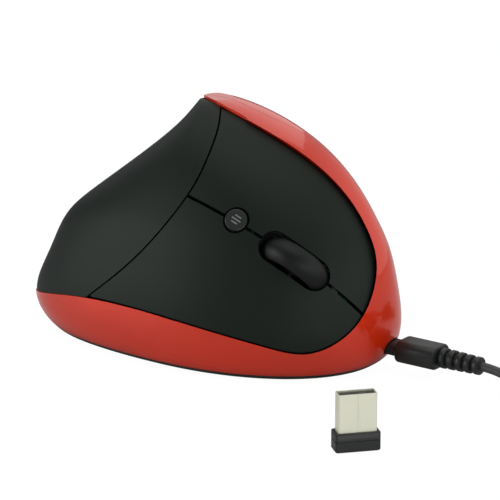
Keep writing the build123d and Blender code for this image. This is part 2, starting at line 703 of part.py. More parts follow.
# Inner frame that carries the button board
FRAME_LEVELS = (-21.0, -19.0)
FRAME_ALONG = (-18.0, 44.0)
FRAME_ACROSS = (-32.6, 27.0)
FRAME_SLOT = (6.4, 5.2)
EYE_RADIUS = 2.6
EYE_HALF = 1.5
GUIDE_BORE = GUIDE_RADIUS + RUNNING_FIT
FRAME_LEGS = (((26.0, 31.0), (-17.0, -13.0)), ((-8.0, -3.0), (-28.0, -24.0)))
FRAME_FOOT = 6.5

with BuildPart() as frame_legs:
    for along, across in FRAME_LEGS:
        add(block(Plane.XY, along, across, (BASE_TOP, HEIGHT)))
    split(bisect_by=PANEL.offset(sum(FRAME_LEVELS) / 2), keep=Keep.BOTTOM)

with BuildPart() as switch_frame:
    add(block(PANEL, FRAME_ALONG, FRAME_ACROSS, FRAME_LEVELS))
    add(inner_form, mode=Mode.INTERSECT)
    split(bisect_by=Plane.XY.offset(FRAME_FOOT), keep=Keep.TOP)
    for place in BOARD_BOSSES:
        add(drum(PANEL, place, BOARD_BOSS_RADIUS, (FRAME_LEVELS[1], BOARD_LEVELS[0])))
    for sizes in BUTTONS.values():
        for eye in sizes["eyes"]:
            levels = (FRAME_LEVELS[1], PIVOT_LEVEL)
            add(block(PANEL, about(PIVOT_ALONG, EYE_RADIUS), about(eye, EYE_HALF), levels))
            add(drum(ACROSS, (PIVOT_ALONG, -PIVOT_LEVEL), EYE_RADIUS, about(eye, EYE_HALF)))
            bore = about(eye, EYE_HALF + RUNNING_FIT)
            add(drum(ACROSS, (PIVOT_ALONG, -PIVOT_LEVEL), BORE_RADIUS, bore), mode=Mode.SUBTRACT)
    add(frame_legs.part)
    cut_levels = (FRAME_LEVELS[0] - OVERRUN, FRAME_LEVELS[1] + OVERRUN)
    slot_along, slot_across = about(WHEEL_ALONG, FRAME_SLOT[0]), about(WHEEL_ACROSS, FRAME_SLOT[1])
    add(block(PANEL, slot_along, slot_across, cut_levels), mode=Mode.SUBTRACT)
    for side in (1, -1):
        guide = (WHEEL_ALONG + side * GUIDE_OFFSET, WHEEL_ACROSS)
        add(drum(PANEL, guide, GUIDE_BORE, cut_levels), mode=Mode.SUBTRACT)
    screw_levels = (BOARD_LEVELS[1] - BOARD_SCREW_REACH, BOARD_LEVELS[1])
    for place in BOARD_BOSSES:
        add(drum(PANEL, place, SCREW_HOLE, screw_levels), mode=Mode.SUBTRACT)
keep_part("switch_frame", switch_frame)

# Thumb buttons
for name, (first, last) in THUMB_BUTTON_ALONG.items():
    with BuildPart() as thumb_button:
        extrude(thumb_outline(name, -THUMB_BUTTON_GAP), amount=WIDTH)
        add(shifted(outer_form, THUMB_BUTTON_PROUD), mode=Mode.INTERSECT)
    with BuildPart() as thumb_flange:
        extrude(thumb_outline(name, THUMB_FLANGE_WIDTH), amount=WIDTH)
        add(shifted(outer_form, -THUMB_FLANGE_TOP), mode=Mode.INTERSECT)
    with BuildPart() as thumb_stem:
        stem = ((first + last) / 2, -sum(THUMB_BUTTON_RISE) / 2)
        add(drum(SIDE, stem, THUMB_STEM_RADIUS, (THUMB_STEM_END, HALF_WIDTH)))
        add(shifted(outer_form, -THUMB_FLANGE_TOP), mode=Mode.INTERSECT)
    with BuildPart() as whole_button:
        add(thumb_button.part)
        add(thumb_flange.part)
        add(shifted(outer_form, -THUMB_BUTTON_DEPTH), mode=Mode.SUBTRACT)
        add(thumb_stem.part)
    keep_part(name, whole_button)

with BuildPart() as thumb_board:
    rise = [-value for value in reversed(THUMB_BOARD_RISE)]
    add(block(SIDE, THUMB_BOARD_ALONG, rise, (THUMB_BOARD_BACK, THUMB_BOARD_FACE)))
    for along, height in THUMB_BOSSES:
        add(drum(SIDE, (along, -height), SCREW_PASS, (0, HALF_WIDTH)), mode=Mode.SUBTRACT)
keep_part("thumb_board", thumb_board)

with BuildPart() as thumb_switches:
    for first, last in THUMB_BUTTON_ALONG.values():
        along = about((first + last) / 2, THUMB_SWITCH_HALF)
        rise = about(-sum(THUMB_BUTTON_RISE) / 2, THUMB_SWITCH_HALF)
        add(block(SIDE, along, rise, (THUMB_BOARD_FACE, THUMB_SWITCH_TOP)))
keep_part("thumb_switches", thumb_switches)

# Base plate
SENSOR_PLACE = (8.0, 0.0)
LENS_RADIUS = 3.9
LENS_WINDOW = LENS_RADIUS + SEAT_GAP
LENS_FACE = 1.2
LENS_FLANGE = (8.0, 6.0)
MAIN_BOARD_LEVELS = (4.9, 5.9)
MAIN_BOARD_ALONG = (-14.0, 56.0)
MAIN_BOARD_ACROSS = (-9.0, 18.0)
MAIN_BOSSES = ((26.0, -6.0), (26.0, 15.0), (-8.0, -6.0), (-8.0, 15.0))
BATTERY_ALONG = (-47.5, -16.0)
BATTERY_ACROSS = (-19.0, 3.0)
BATTERY_HEIGHT = 7.0
BATTERY_ROUND = 2.2
RIB = 1.0
RIB_HEIGHT = 3.0
SWITCH_ALONG = (-10.0, -4.0)
SWITCH_ACROSS = (3.0, 7.0)
SLIDER_WINDOW_ALONG = (-11.0, -3.0)
SLIDER_WINDOW_ACROSS = (3.2, 6.8)
SLIDER_LENGTH = 5.6
SLIDER_WIDTH = 3.4
SLIDER_FACE = 1.1
SLIDER_TRAVEL = 2.0
SCREW_SINK_RADIUS = SCREW_HEAD_RADIUS + SEAT_GAP

with BuildPart() as base_plate:
    add(outer_form)
    split(bisect_by=Plane.XY.offset(BASE_TOP), keep=Keep.BOTTOM)
    split(bisect_by=Plane.XY.offset(FOOT_THICKNESS), keep=Keep.TOP)
    for place in MAIN_BOSSES:
        add(drum(Plane.XY, place, BOARD_BOSS_RADIUS, (BASE_TOP, MAIN_BOARD_LEVELS[0])))
    for along in BATTERY_ALONG:
        outward = 1 if along == BATTERY_ALONG[1] else -1
        stop = sorted((along + outward * SEAT_GAP, along + outward * (SEAT_GAP + RIB)))
        add(block(Plane.XY, stop, about(sum(BATTERY_ACROSS) / 2, BATTERY_HEIGHT), (BASE_TOP, BASE_TOP + RIB_HEIGHT)))
    for across in BATTERY_ACROSS:
        outward = 1 if across == BATTERY_ACROSS[1] else -1
        stop = sorted((across + outward * SEAT_GAP, across + outward * (SEAT_GAP + RIB)))
        add(block(Plane.XY, about(sum(BATTERY_ALONG) / 2, BATTERY_HEIGHT), stop, (BASE_TOP, BASE_TOP + RIB_HEIGHT)))
    through = (-OVERRUN, BASE_TOP)
    add(drum(Plane.XY, SENSOR_PLACE, LENS_WINDOW, through), mode=Mode.SUBTRACT)
    add(block(Plane.XY, SLIDER_WINDOW_ALONG, SLIDER_WINDOW_ACROSS, through), mode=Mode.SUBTRACT)
    for place in RIGHT_SCREWS + LEFT_SCREWS:
        add(drum(Plane.XY, place, SCREW_PASS, through), mode=Mode.SUBTRACT)
        add(drum(Plane.XY, place, SCREW_SINK_RADIUS, (-OVERRUN, FOOT_THICKNESS + BASE_SCREW_HEAD)), mode=Mode.SUBTRACT)
    for place in MAIN_BOSSES:
        bore = (MAIN_BOARD_LEVELS[1] - BOARD_SCREW_REACH, MAIN_BOARD_LEVELS[1])
        add(drum(Plane.XY, place, SCREW_HOLE, bore), mode=Mode.SUBTRACT)
keep_part("base_plate", base_plate)

# Glide feet: nose, tail and a ring round the sensor
RING_BORE = 6.2
RING_RADIUS = 9.8
NOSE_FOOT = ((44.0, 8.0), 24.0, 6.0, 64.0)
TAIL_FOOT = ((-44.0, -12.0), 26.0, 6.0, -66.0)

with BuildPart() as glide_feet:
    add(drum(Plane.XY, SENSOR_PLACE, RING_RADIUS, (0, FOOT_THICKNESS), RING_BORE))
    for place, length, width, turn in (NOSE_FOOT, TAIL_FOOT):
        with BuildSketch(Plane.XY):
            with Locations(Location((*place, 0), (0, 0, turn))):
                SlotOverall(length, width)
        extrude(amount=FOOT_THICKNESS)
keep_part("glide_feet", glide_feet)

# Sensor, main board, battery, power switch
SENSOR_HALF = (5.0, 5.0)
SENSOR_TOP = 7.6

with BuildPart() as sensor_lens:
    add(drum(Plane.XY, SENSOR_PLACE, LENS_RADIUS, (LENS_FACE, BASE_TOP)))
    along, across = about(SENSOR_PLACE[0], LENS_FLANGE[0]), about(SENSOR_PLACE[1], LENS_FLANGE[1])
    add(block(Plane.XY, along, across, (BASE_TOP, MAIN_BOARD_LEVELS[0])))
keep_part("sensor_lens", sensor_lens)

with BuildPart() as sensor_chip:
    along, across = about(SENSOR_PLACE[0], SENSOR_HALF[0]), about(SENSOR_PLACE[1], SENSOR_HALF[1])
    add(block(Plane.XY, along, across, (MAIN_BOARD_LEVELS[1], SENSOR_TOP)))
keep_part("sensor_chip", sensor_chip)

with BuildPart() as main_board:
    add(block(Plane.XY, MAIN_BOARD_ALONG, MAIN_BOARD_ACROSS, MAIN_BOARD_LEVELS))
    add(inner_form, mode=Mode.INTERSECT)
    for place in MAIN_BOSSES:
        add(drum(Plane.XY, place, SCREW_PASS, (0, SENSOR_TOP)), mode=Mode.SUBTRACT)
keep_part("main_board", main_board)

with BuildPart() as battery_cell:
    add(block(Plane.XY, BATTERY_ALONG, BATTERY_ACROSS, (BASE_TOP, BASE_TOP + BATTERY_HEIGHT)))
    fillet(edges().filter_by(Axis.X), BATTERY_ROUND)
keep_part("battery_cell", battery_cell)

with BuildPart() as power_switch:
    add(block(Plane.XY, SWITCH_ALONG, SWITCH_ACROSS, (BASE_TOP + SEAT_GAP, MAIN_BOARD_LEVELS[0])))
keep_part("power_switch", power_switch)

with BuildPart() as power_slider:
    along = (SLIDER_WINDOW_ALONG[0] + SEAT_GAP, SLIDER_WINDOW_ALONG[0] + SEAT_GAP + SLIDER_LENGTH)
    across = about(sum(SLIDER_WINDOW_ACROSS) / 2, SLIDER_WIDTH / 2)
    add(block(Plane.XY, along, across, (SLIDER_FACE, BASE_TOP)))
keep_part("power_slider", power_slider)

# Charging socket, and the plug pushed into it through the nose
SOCKET_WIDTH = 7.5
SOCKET_DEPTH = 5.2
SOCKET_HEIGHT = 2.6
SOCKET_WALL = 0.27
SOCKET_FACE = 57.6
TONGUE_THICKNESS = 0.5
TIP_LENGTH = 5.0
TIP_GAP = 0.05
NECK_BACK = 58.0
NECK_FRONT = 63.0
GRIP_FRONT = 79.5
GRIP_WIDTH = 10.0
GRIP_HEIGHT = 6.0
GRIP_ROUND = 2.2
RELIEF_FRONT = 94.0
RELIEF_RADII = (2.9, 2.1)
RELIEF_RIBS = 5
RELIEF_RIB = 1.5
RELIEF_GROOVE = 0.55
CORD_DIAMETER = 3.0
CORD_RADIUS = CORD_DIAMETER / 2
CORD_SEAT = 1.2
CORD_FIT = 0.05
PLUG_TRAVEL = 6.0

PLUG = Plane((0, PLUG_ACROSS, PLUG_RISE), x_dir=(0, 1, 0), z_dir=(1, 0, 0))
SOCKET_CENTRE = MAIN_BOARD_LEVELS[1] + SOCKET_HEIGHT / 2 - PLUG_RISE

with BuildPart() as charge_socket:
    with BuildSketch(PLUG.offset(SOCKET_FACE - SOCKET_DEPTH)):
        with Locations((0, SOCKET_CENTRE)):
            Rectangle(SOCKET_WIDTH, SOCKET_HEIGHT)
    extrude(amount=SOCKET_DEPTH)
    with BuildSketch(PLUG.offset(SOCKET_FACE - SOCKET_DEPTH + SOCKET_WALL)):
        with Locations((0, SOCKET_CENTRE)):
            Rectangle(SOCKET_WIDTH - 2 * SOCKET_WALL, SOCKET_HEIGHT - 2 * SOCKET_WALL)
    extrude(amount=SOCKET_DEPTH, mode=Mode.SUBTRACT)
keep_part("charge_socket", charge_socket)

with BuildPart() as plug_tip:
    with BuildSketch(PLUG.offset(NECK_BACK - TIP_LENGTH)):
        tip_width = SOCKET_WIDTH - 2 * SOCKET_WALL - 2 * TIP_GAP
        tip_height = SOCKET_HEIGHT - 2 * SOCKET_WALL - 2 * TIP_GAP
        with Locations((0, SOCKET_CENTRE)):
            Rectangle(tip_width, tip_height)
    extrude(amount=TIP_LENGTH)
keep_part("plug_tip", plug_tip)

with BuildPart() as charge_plug:
    with BuildSketch(PLUG.offset(NECK_BACK)):
        SlotOverall(NECK_WIDTH, NECK_HEIGHT)
    extrude(amount=NECK_FRONT - NECK_BACK)
    with BuildSketch(PLUG.offset(NECK_FRONT)):
        RectangleRounded(GRIP_WIDTH, GRIP_HEIGHT, GRIP_ROUND)
    extrude(amount=GRIP_FRONT - NECK_FRONT)
    with BuildSketch(Plane.XZ.offset(-PLUG_ACROSS)):
        with BuildLine():
            first, last = RELIEF_RADII
            corners = [(GRIP_FRONT, PLUG_RISE), (GRIP_FRONT, PLUG_RISE + first)]
            pitch = (RELIEF_FRONT - GRIP_FRONT) / RELIEF_RIBS
            for rib in range(RELIEF_RIBS):
                radius = first + (last - first) * rib / (RELIEF_RIBS - 1)
                start = GRIP_FRONT + pitch * (rib + 1) - RELIEF_RIB
                corners += [(start, PLUG_RISE + radius - RELIEF_GROOVE), (start, PLUG_RISE + radius)]
                corners += [(start + RELIEF_RIB, PLUG_RISE + radius)]
                if rib < RELIEF_RIBS - 1:
                    corners += [(start + RELIEF_RIB, PLUG_RISE + radius - RELIEF_GROOVE)]
            corners += [(RELIEF_FRONT, PLUG_RISE)]
            Polyline(*corners, close=True)
        make_face()
    revolve(axis=Axis((0, PLUG_ACROSS, PLUG_RISE), (1, 0, 0)))
    with BuildSketch(PLUG.offset(RELIEF_FRONT - CORD_SEAT)):
        Circle(CORD_RADIUS + CORD_FIT)
    extrude(amount=CORD_SEAT, mode=Mode.SUBTRACT)
keep_part("charge_plug", charge_plug)

# Wireless receiver, standing on its cap
RECEIVER_PLACE = (93.1, -59.3)
RECEIVER_TURN = 49.0
CAP_WIDTH = 14.0
CAP_DEPTH = 6.2
CAP_HEIGHT = 6.0
CAP_ROUND = 0.7
USB_WIDTH = 12.0
USB_HEIGHT = 4.5
USB_LENGTH = 12.0
USB_WALL = 0.3
USB_ROUND = 0.5
USB_SINK = 3.0
WINDOW_WIDTH = 2.3
WINDOW_OFFSET = 2.6
WINDOW_SETBACK = 5.3
TONGUE_WIDTH = 10.8
TONGUE_HEIGHT = 1.9
TONGUE_SHORT = 0.6
RECEIVER = Plane((*RECEIVER_PLACE, 0), x_dir=(cos(radians(RECEIVER_TURN)), sin(radians(RECEIVER_TURN)), 0), z_dir=(0, 0, 1))


def usb_shell(plane, root, tip):
    """Thin steel sleeve of a USB plug, with its two square windows on each broad side."""
    with BuildPart() as sleeve:
        with BuildSketch(plane.offset(root)):
            RectangleRounded(USB_WIDTH, USB_HEIGHT, USB_ROUND)
            RectangleRounded(USB_WIDTH - 2 * USB_WALL, USB_HEIGHT - 2 * USB_WALL, USB_WALL, mode=Mode.SUBTRACT)
        extrude(amount=tip - root)
        side = Plane(plane.origin, x_dir=plane.x_dir, z_dir=plane.y_dir)
        with BuildSketch(side.offset(-USB_HEIGHT)):
            with Locations((-WINDOW_OFFSET, -(tip - WINDOW_SETBACK)), (WINDOW_OFFSET, -(tip - WINDOW_SETBACK))):
                Rectangle(WINDOW_WIDTH, WINDOW_WIDTH)
        extrude(amount=2 * USB_HEIGHT, mode=Mode.SUBTRACT)
    return sleeve


with BuildPart() as receiver_cap:
    with BuildSketch(RECEIVER):
        Rectangle(CAP_WIDTH, CAP_DEPTH)
    extrude(amount=CAP_HEIGHT)
    fillet(edges().filter_by(Axis.Z), CAP_ROUND)
    with BuildSketch(RECEIVER.offset(CAP_HEIGHT - USB_SINK)):
        RectangleRounded(USB_WIDTH + 2 * CORD_FIT, USB_HEIGHT + 2 * CORD_FIT, USB_ROUND)
    extrude(amount=USB_SINK, mode=Mode.SUBTRACT)
keep_part("receiver_cap", receiver_cap)

receiver_shell = usb_shell(RECEIVER, CAP_HEIGHT - USB_SINK, CAP_HEIGHT + USB_LENGTH)
keep_part("receiver_shell", receiver_shell)

with BuildPart() as receiver_tongue:
    across = (USB_HEIGHT / 2 - USB_WALL - CORD_FIT - TONGUE_HEIGHT, USB_HEIGHT / 2 - USB_WALL - CORD_FIT)
    levels = (CAP_HEIGHT - USB_SINK, CAP_HEIGHT + USB_LENGTH - TONGUE_SHORT)
    add(block(RECEIVER, about(0, TONGUE_WIDTH / 2), across, levels))
keep_part("receiver_tongue", receiver_tongue)

# Screws
with BuildPart() as base_screws:
    for place in RIGHT_SCREWS + LEFT_SCREWS:
        seat = FOOT_THICKNESS + BASE_SCREW_HEAD
        add(drum(Plane.XY, place, SCREW_HEAD_RADIUS, (FOOT_THICKNESS, seat)))
        add(drum(Plane.XY, place, SCREW_RADIUS, (seat, BASE_TOP + BASE_SCREW_LENGTH)))
keep_part("base_screws", base_screws)

with BuildPart() as board_screws:
    for place in BOARD_BOSSES:
        face = BOARD_LEVELS[1]
        add(drum(PANEL, place, SCREW_HEAD_RADIUS, (face, face + SCREW_HEAD)))
        add(drum(PANEL, place, SCREW_RADIUS, (face - BOARD_SCREW_REACH, face)))
    for place in MAIN_BOSSES:
        face = MAIN_BOARD_LEVELS[1]
        add(drum(Plane.XY, place, SCREW_HEAD_RADIUS, (face, face + SCREW_HEAD)))
        add(drum(Plane.XY, place, SCREW_RADIUS, (face - BOARD_SCREW_REACH, face)))
    for along, height in THUMB_BOSSES:
        face = THUMB_BOARD_BACK
        add(drum(SIDE, (along, -height), SCREW_HEAD_RADIUS, (face - SCREW_HEAD, face)))
        add(drum(SIDE, (along, -height), SCREW_RADIUS, (face, face + BOARD_SCREW_REACH)))
keep_part("board_screws", board_screws)

# Charging cable
# The cord lies on the floor to a coil of put-away length, held by a tie, and its end leaves the
# coil for a flat USB plug
COIL_CENTRE = (135.0, 25.0)
COIL_MEAN_RADIUS = 17.0
COIL_TURN_PITCH = 3.5
COIL_TURNS_ACROSS = 4
COIL_LAYERS = 2
COIL_FOOT = 0.9
TIE_THICKNESS = 0.6
TIE_WIDTH = 6.0
COIL_HALF_WIDTH = COIL_TURN_PITCH * (COIL_TURNS_ACROSS - 1) / 2 + CORD_RADIUS
COIL_HEIGHT = COIL_LAYERS * CORD_DIAMETER - SEAT_GAP
LOW_TURN = COIL_FOOT + CORD_RADIUS

# Routes of the two free stretches: from the relief to the coil, and from the coil to the plug
CORD_ROUTE = (
    (RELIEF_FRONT - CORD_SEAT, PLUG_ACROSS, PLUG_RISE),
    (99.0, PLUG_ACROSS, PLUG_RISE),
    (107.5, 9.0, 4.6),
    (116.5, 7.2, 2.4),
    (125.5, 4.0, LOW_TURN),
    (134.0, 2.8, LOW_TURN),
)
END_ROUTE = (
    (135.0, 47.2, LOW_TURN),
    (127.0, 47.7, 2.9),
    (119.5, 51.0, 4.1),
    (112.0, 55.33, 4.1),
)


def corner_radii(route):
    """Largest arc for each corner of a route: 0.45 of its shorter run over half its turn."""
    radii = []
    for before, corner, after in zip(route, route[1:], route[2:]):
        first, second = Vector(*corner) - Vector(*before), Vector(*after) - Vector(*corner)
        half_turn = radians(first.get_angle(second)) / 2
        radii.append(0.45 * min(first.length, second.length) * cos(half_turn) / sin(half_turn))
    return radii


def cord_tube(route):
    """Round tube along straight runs joined by arcs, checked against its section and length."""
    radii = corner_radii(route)
    with BuildPart() as tube:
        with BuildLine() as path:
            FilletPolyline(*route, radius=radii)
        wire = path.wires()[0]
        with BuildSketch(Plane(wire @ 0, z_dir=wire % 0)):
            Circle(CORD_RADIUS)
        sweep(path=wire)
    length = wire.length
    share = tube.part.volume / (pi * CORD_RADIUS**2 * length)
    print("cord radii", [round(radius, 1) for radius in radii], "length", round(length, 1), round(share, 4))
    return tube


charge_cord = cord_tube(CORD_ROUTE)
keep_part("charge_cord", charge_cord)
cord_end = cord_tube(END_ROUTE)
keep_part("cord_end", cord_end)

COIL = Plane((*COIL_CENTRE, 0))
coil_outer = COIL_MEAN_RADIUS + COIL_HALF_WIDTH
coil_inner = COIL_MEAN_RADIUS - COIL_HALF_WIDTH
with BuildPart() as cord_coil:
    add(drum(COIL, (0, 0), coil_outer, (COIL_FOOT, COIL_FOOT + COIL_HEIGHT), coil_inner))
keep_part("cord_coil", cord_coil)

with BuildPart() as cord_tie:
    tie_inner = sqrt(coil_inner**2 - (TIE_WIDTH / 2) ** 2)
    reach = (tie_inner - SEAT_GAP, coil_outer + SEAT_GAP)
    levels = (COIL_FOOT - SEAT_GAP, COIL_FOOT + COIL_HEIGHT + SEAT_GAP)
    band_reach = (reach[0] - TIE_THICKNESS, reach[1] + TIE_THICKNESS)
    band_levels = (levels[0] - TIE_THICKNESS, levels[1] + TIE_THICKNESS)
    add(block(COIL, band_reach, about(0, TIE_WIDTH / 2), band_levels))
    add(block(COIL, reach, about(0, TIE_WIDTH), levels), mode=Mode.SUBTRACT)
keep_part("cord_tie", cord_tie)

# USB plug at the cord's end
USB_GRIP_WIDTH = 16.0
USB_GRIP_HEIGHT = 8.0
USB_GRIP_LENGTH = 21.0
USB_GRIP_ROUND = 1.6
USB_TURN = 150.0
USB_WAY = (cos(radians(USB_TURN)), sin(radians(USB_TURN)), 0)
USB_SIDE_WAY = (sin(radians(USB_TURN)), -cos(radians(USB_TURN)), 0)
USB_PLUG = Plane(END_ROUTE[-1], x_dir=USB_SIDE_WAY, z_dir=USB_WAY)

with BuildPart() as usb_plug_grip:
    with BuildSketch(USB_PLUG):
        RectangleRounded(USB_GRIP_WIDTH, USB_GRIP_HEIGHT, USB_GRIP_ROUND)
    extrude(amount=USB_GRIP_LENGTH)
    with BuildSketch(USB_PLUG.offset(USB_GRIP_LENGTH - USB_SINK)):
        RectangleRounded(USB_WIDTH + 2 * CORD_FIT, USB_HEIGHT + 2 * CORD_FIT, USB_ROUND)
    extrude(amount=USB_SINK, mode=Mode.SUBTRACT)
keep_part("usb_plug_grip", usb_plug_grip)

usb_plug_shell = usb_shell(USB_PLUG, USB_GRIP_LENGTH - USB_SINK, USB_GRIP_LENGTH + USB_LENGTH)
keep_part("usb_plug_shell", usb_plug_shell)

with BuildPart() as usb_plug_tongue:
    across = (USB_HEIGHT / 2 - USB_WALL - CORD_FIT - TONGUE_HEIGHT, USB_HEIGHT / 2 - USB_WALL - CORD_FIT)
    levels = (USB_GRIP_LENGTH - USB_SINK, USB_GRIP_LENGTH + USB_LENGTH - TONGUE_SHORT)
    add(block(USB_PLUG, about(0, TONGUE_WIDTH / 2), across, levels))
keep_part("usb_plug_tongue", usb_plug_tongue)
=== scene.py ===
# %% [markdown]
# # Vertical ergonomic mouse
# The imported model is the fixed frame. The scene gives every piece its finish, lays the charging
# cable as one smooth cord, and sets the camera and the studio.

import json
from math import cos, pi, radians, sin, sqrt

import bmesh
import bpy
import numpy as np
from mathutils import Matrix, Vector


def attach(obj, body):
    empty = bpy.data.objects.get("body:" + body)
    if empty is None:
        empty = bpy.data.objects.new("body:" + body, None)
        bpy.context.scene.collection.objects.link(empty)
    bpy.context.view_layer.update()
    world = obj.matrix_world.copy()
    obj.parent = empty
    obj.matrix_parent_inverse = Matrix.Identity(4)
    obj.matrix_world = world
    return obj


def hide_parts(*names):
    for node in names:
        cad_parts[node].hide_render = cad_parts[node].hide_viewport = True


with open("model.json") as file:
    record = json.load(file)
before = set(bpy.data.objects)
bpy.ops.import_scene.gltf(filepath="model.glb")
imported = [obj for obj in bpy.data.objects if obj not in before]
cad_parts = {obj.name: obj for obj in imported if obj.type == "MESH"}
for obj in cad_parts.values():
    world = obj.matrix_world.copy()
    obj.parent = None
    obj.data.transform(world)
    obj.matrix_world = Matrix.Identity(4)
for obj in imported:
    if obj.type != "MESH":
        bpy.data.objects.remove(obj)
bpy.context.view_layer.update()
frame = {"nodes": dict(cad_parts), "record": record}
MM = 0.001

# %% [markdown]
# ## Camera
# It stands where the photograph was taken from, about 1.1 m away, 17 degrees up and 36 degrees
# round from the mouse's right side. Its place, aim and lens come from a least-squares fit to the
# outline of the mouse in the photograph.

# %% Camera
CAMERA_PLACE = Vector((0.63139, -0.85390, 0.35499))
CAMERA_AIM = Vector((0.01295, -0.00280, 0.03382))
CAMERA_LENS, SENSOR_WIDTH, FARTHEST = 245.8, 36, 20


def make_camera():
    """Camera at the photograph's viewing angle."""
    data = bpy.data.cameras.new("camera")
    data.lens = CAMERA_LENS
    data.sensor_width = SENSOR_WIDTH
    data.clip_end = FARTHEST
    camera = bpy.data.objects.new("camera", data)
    bpy.context.collection.objects.link(camera)
    camera.location = CAMERA_PLACE
    camera.rotation_euler = (CAMERA_AIM - CAMERA_PLACE).to_track_quat("-Z", "Y").to_euler()
    bpy.context.scene.camera = camera


make_camera()
print("camera", tuple(CAMERA_PLACE))

# %% [markdown]
# ## Materials
# Each finish is a small node tree: a colour that varies a little, a roughness that varies more,
# and a fine bump, all in real sizes from object coordinates.


# %% Material builder
def finish(name, dark, light, rough, grain_mm=0.35, bump=0.1, cloud_mm=18.0, **shader):
    """Moulded or coated finish between two colours, with grain of a real size."""
    material = bpy.data.materials.new(name)
    material.use_nodes = True
    nodes, links = material.node_tree.nodes, material.node_tree.links
    surface = nodes["Principled BSDF"]
    for socket, value in shader.items():
        surface.inputs[socket.replace("_", " ")].default_value = value
    place = nodes.new("ShaderNodeTexCoord").outputs["Object"]

    cloud = nodes.new("ShaderNodeTexNoise")
    cloud.inputs["Scale"].default_value = 1 / (cloud_mm * MM)
    cloud.inputs["Detail"].default_value = 4
    links.new(place, cloud.inputs["Vector"])
    tint = nodes.new("ShaderNodeMix")
    tint.data_type = "RGBA"
    tint.inputs["A"].default_value = (*dark, 1)
    tint.inputs["B"].default_value = (*light, 1)
    links.new(cloud.outputs["Fac"], tint.inputs["Factor"])
    links.new(tint.outputs["Result"], surface.inputs["Base Color"])

    grain = nodes.new("ShaderNodeTexNoise")
    grain.inputs["Scale"].default_value = 1 / (grain_mm * MM)
    grain.inputs["Detail"].default_value = 3
    links.new(place, grain.inputs["Vector"])
    spread = nodes.new("ShaderNodeMapRange")
    spread.inputs["To Min"].default_value = rough[0]
    spread.inputs["To Max"].default_value = rough[1]
    links.new(grain.outputs["Fac"], spread.inputs["Value"])
    links.new(spread.outputs["Result"], surface.inputs["Roughness"])
    if bump:
        relief = nodes.new("ShaderNodeBump")
        relief.inputs["Strength"].default_value = bump
        relief.inputs["Distance"].default_value = grain_mm * MM / 4
        links.new(grain.outputs["Fac"], relief.inputs["Height"])
        links.new(relief.outputs["Normal"], surface.inputs["Normal"])
    return material


# %% Finishes
MATERIALS = {
    "red_gloss": finish("red_gloss", (0.49, 0.016, 0.0006), (0.57, 0.024, 0.0020),
                        (0.28, 0.36), 0.12, 0.02,
                        Metallic=0.3, Specular_IOR_Level=0.1, Coat_Weight=0.8, Coat_Roughness=0.07),
    "black_satin": finish("black_satin", (0.0045, 0.0066, 0.0052), (0.0070, 0.0095, 0.0078),
                          (0.48, 0.58), 0.25, 0.12,
                          Specular_IOR_Level=0.17, Specular_Tint=(0.86, 1.0, 0.88, 1.0)),
    "black_plastic": finish("black_plastic", (0.007, 0.009, 0.008), (0.011, 0.013, 0.012),
                            (0.38, 0.50), 0.3, 0.12,
                            Specular_IOR_Level=0.35),
    "wheel_rubber": finish("wheel_rubber", (0.0028, 0.0036, 0.0032), (0.0045, 0.0055, 0.0050),
                           (0.44, 0.56), 0.3, 0.1,
                           Specular_IOR_Level=0.2),
    "grey_plastic": finish("grey_plastic", (0.30, 0.31, 0.31), (0.36, 0.37, 0.37), (0.4, 0.5), 0.4, 0.1),
    "board_green": finish("board_green", (0.010, 0.10, 0.035), (0.018, 0.16, 0.055), (0.3, 0.4), 1.2, 0.08),
    "steel": finish("steel", (0.68, 0.68, 0.55), (0.73, 0.73, 0.60), (0.34, 0.40), 0.8, 0.02, Metallic=0.6),
    "battery_foil": finish("battery_foil", (0.50, 0.51, 0.52), (0.62, 0.63, 0.64),
                           (0.3, 0.5), 2.0, 0.3, Metallic=1.0),
    "lens_clear": finish("lens_clear", (0.86, 0.90, 0.92), (0.9, 0.93, 0.95), (0.05, 0.1), 1.0, 0.0,
                         Transmission_Weight=0.9),
    "foot_slip": finish("foot_slip", (0.02, 0.02, 0.02), (0.03, 0.03, 0.03), (0.35, 0.45), 0.4, 0.1),
    "cord_black": finish("cord_black", (0.022, 0.023, 0.022), (0.032, 0.033, 0.032), (0.42, 0.54), 0.4, 0.15),
    "mark_grey": finish("mark_grey", (0.10, 0.11, 0.10), (0.14, 0.15, 0.14), (0.5, 0.6), 0.3, 0.1),
}


def dress_nodes():
    """Give every CAD node the finish of its material slot."""
    for entry in frame["record"]["subparts"]:
        node = frame["nodes"][entry["node"]]
        material = MATERIALS[entry["material_slot"]]
        if not node.material_slots:
            node.data.materials.append(material)
        for slot in node.material_slots:
            slot.material = material


dress_nodes()
print("finishes", len(MATERIALS))

# %% [markdown]
# ## Charging cable
# One NURBS spline runs from the relief of the charging plug over the floor, round the coil in
# two layers, in and out again, and on to the USB plug.

# %% Cord
CORD_RADIUS = 1.5 * MM
COIL_CENTRE = (135.0, 25.0)
COIL_OUTER = 22.25
COIL_INNER = 11.75
COIL_TURNS = 3
STEPS_PER_TURN = 16
LOW_TURN = 1.6
HIGH_TURN = 4.6
CORD_ROUTE = [
    (92.8, 9.2, 7.2), (99.0, 9.2, 7.2), (107.5, 9.0, 4.6), (116.5, 7.2, 1.9), (125.5, 4.0, LOW_TURN),
]
END_ROUTE = [(127.0, 47.7, 2.9), (119.5, 51.0, 4.1), (112.0, 55.33, 4.1)]


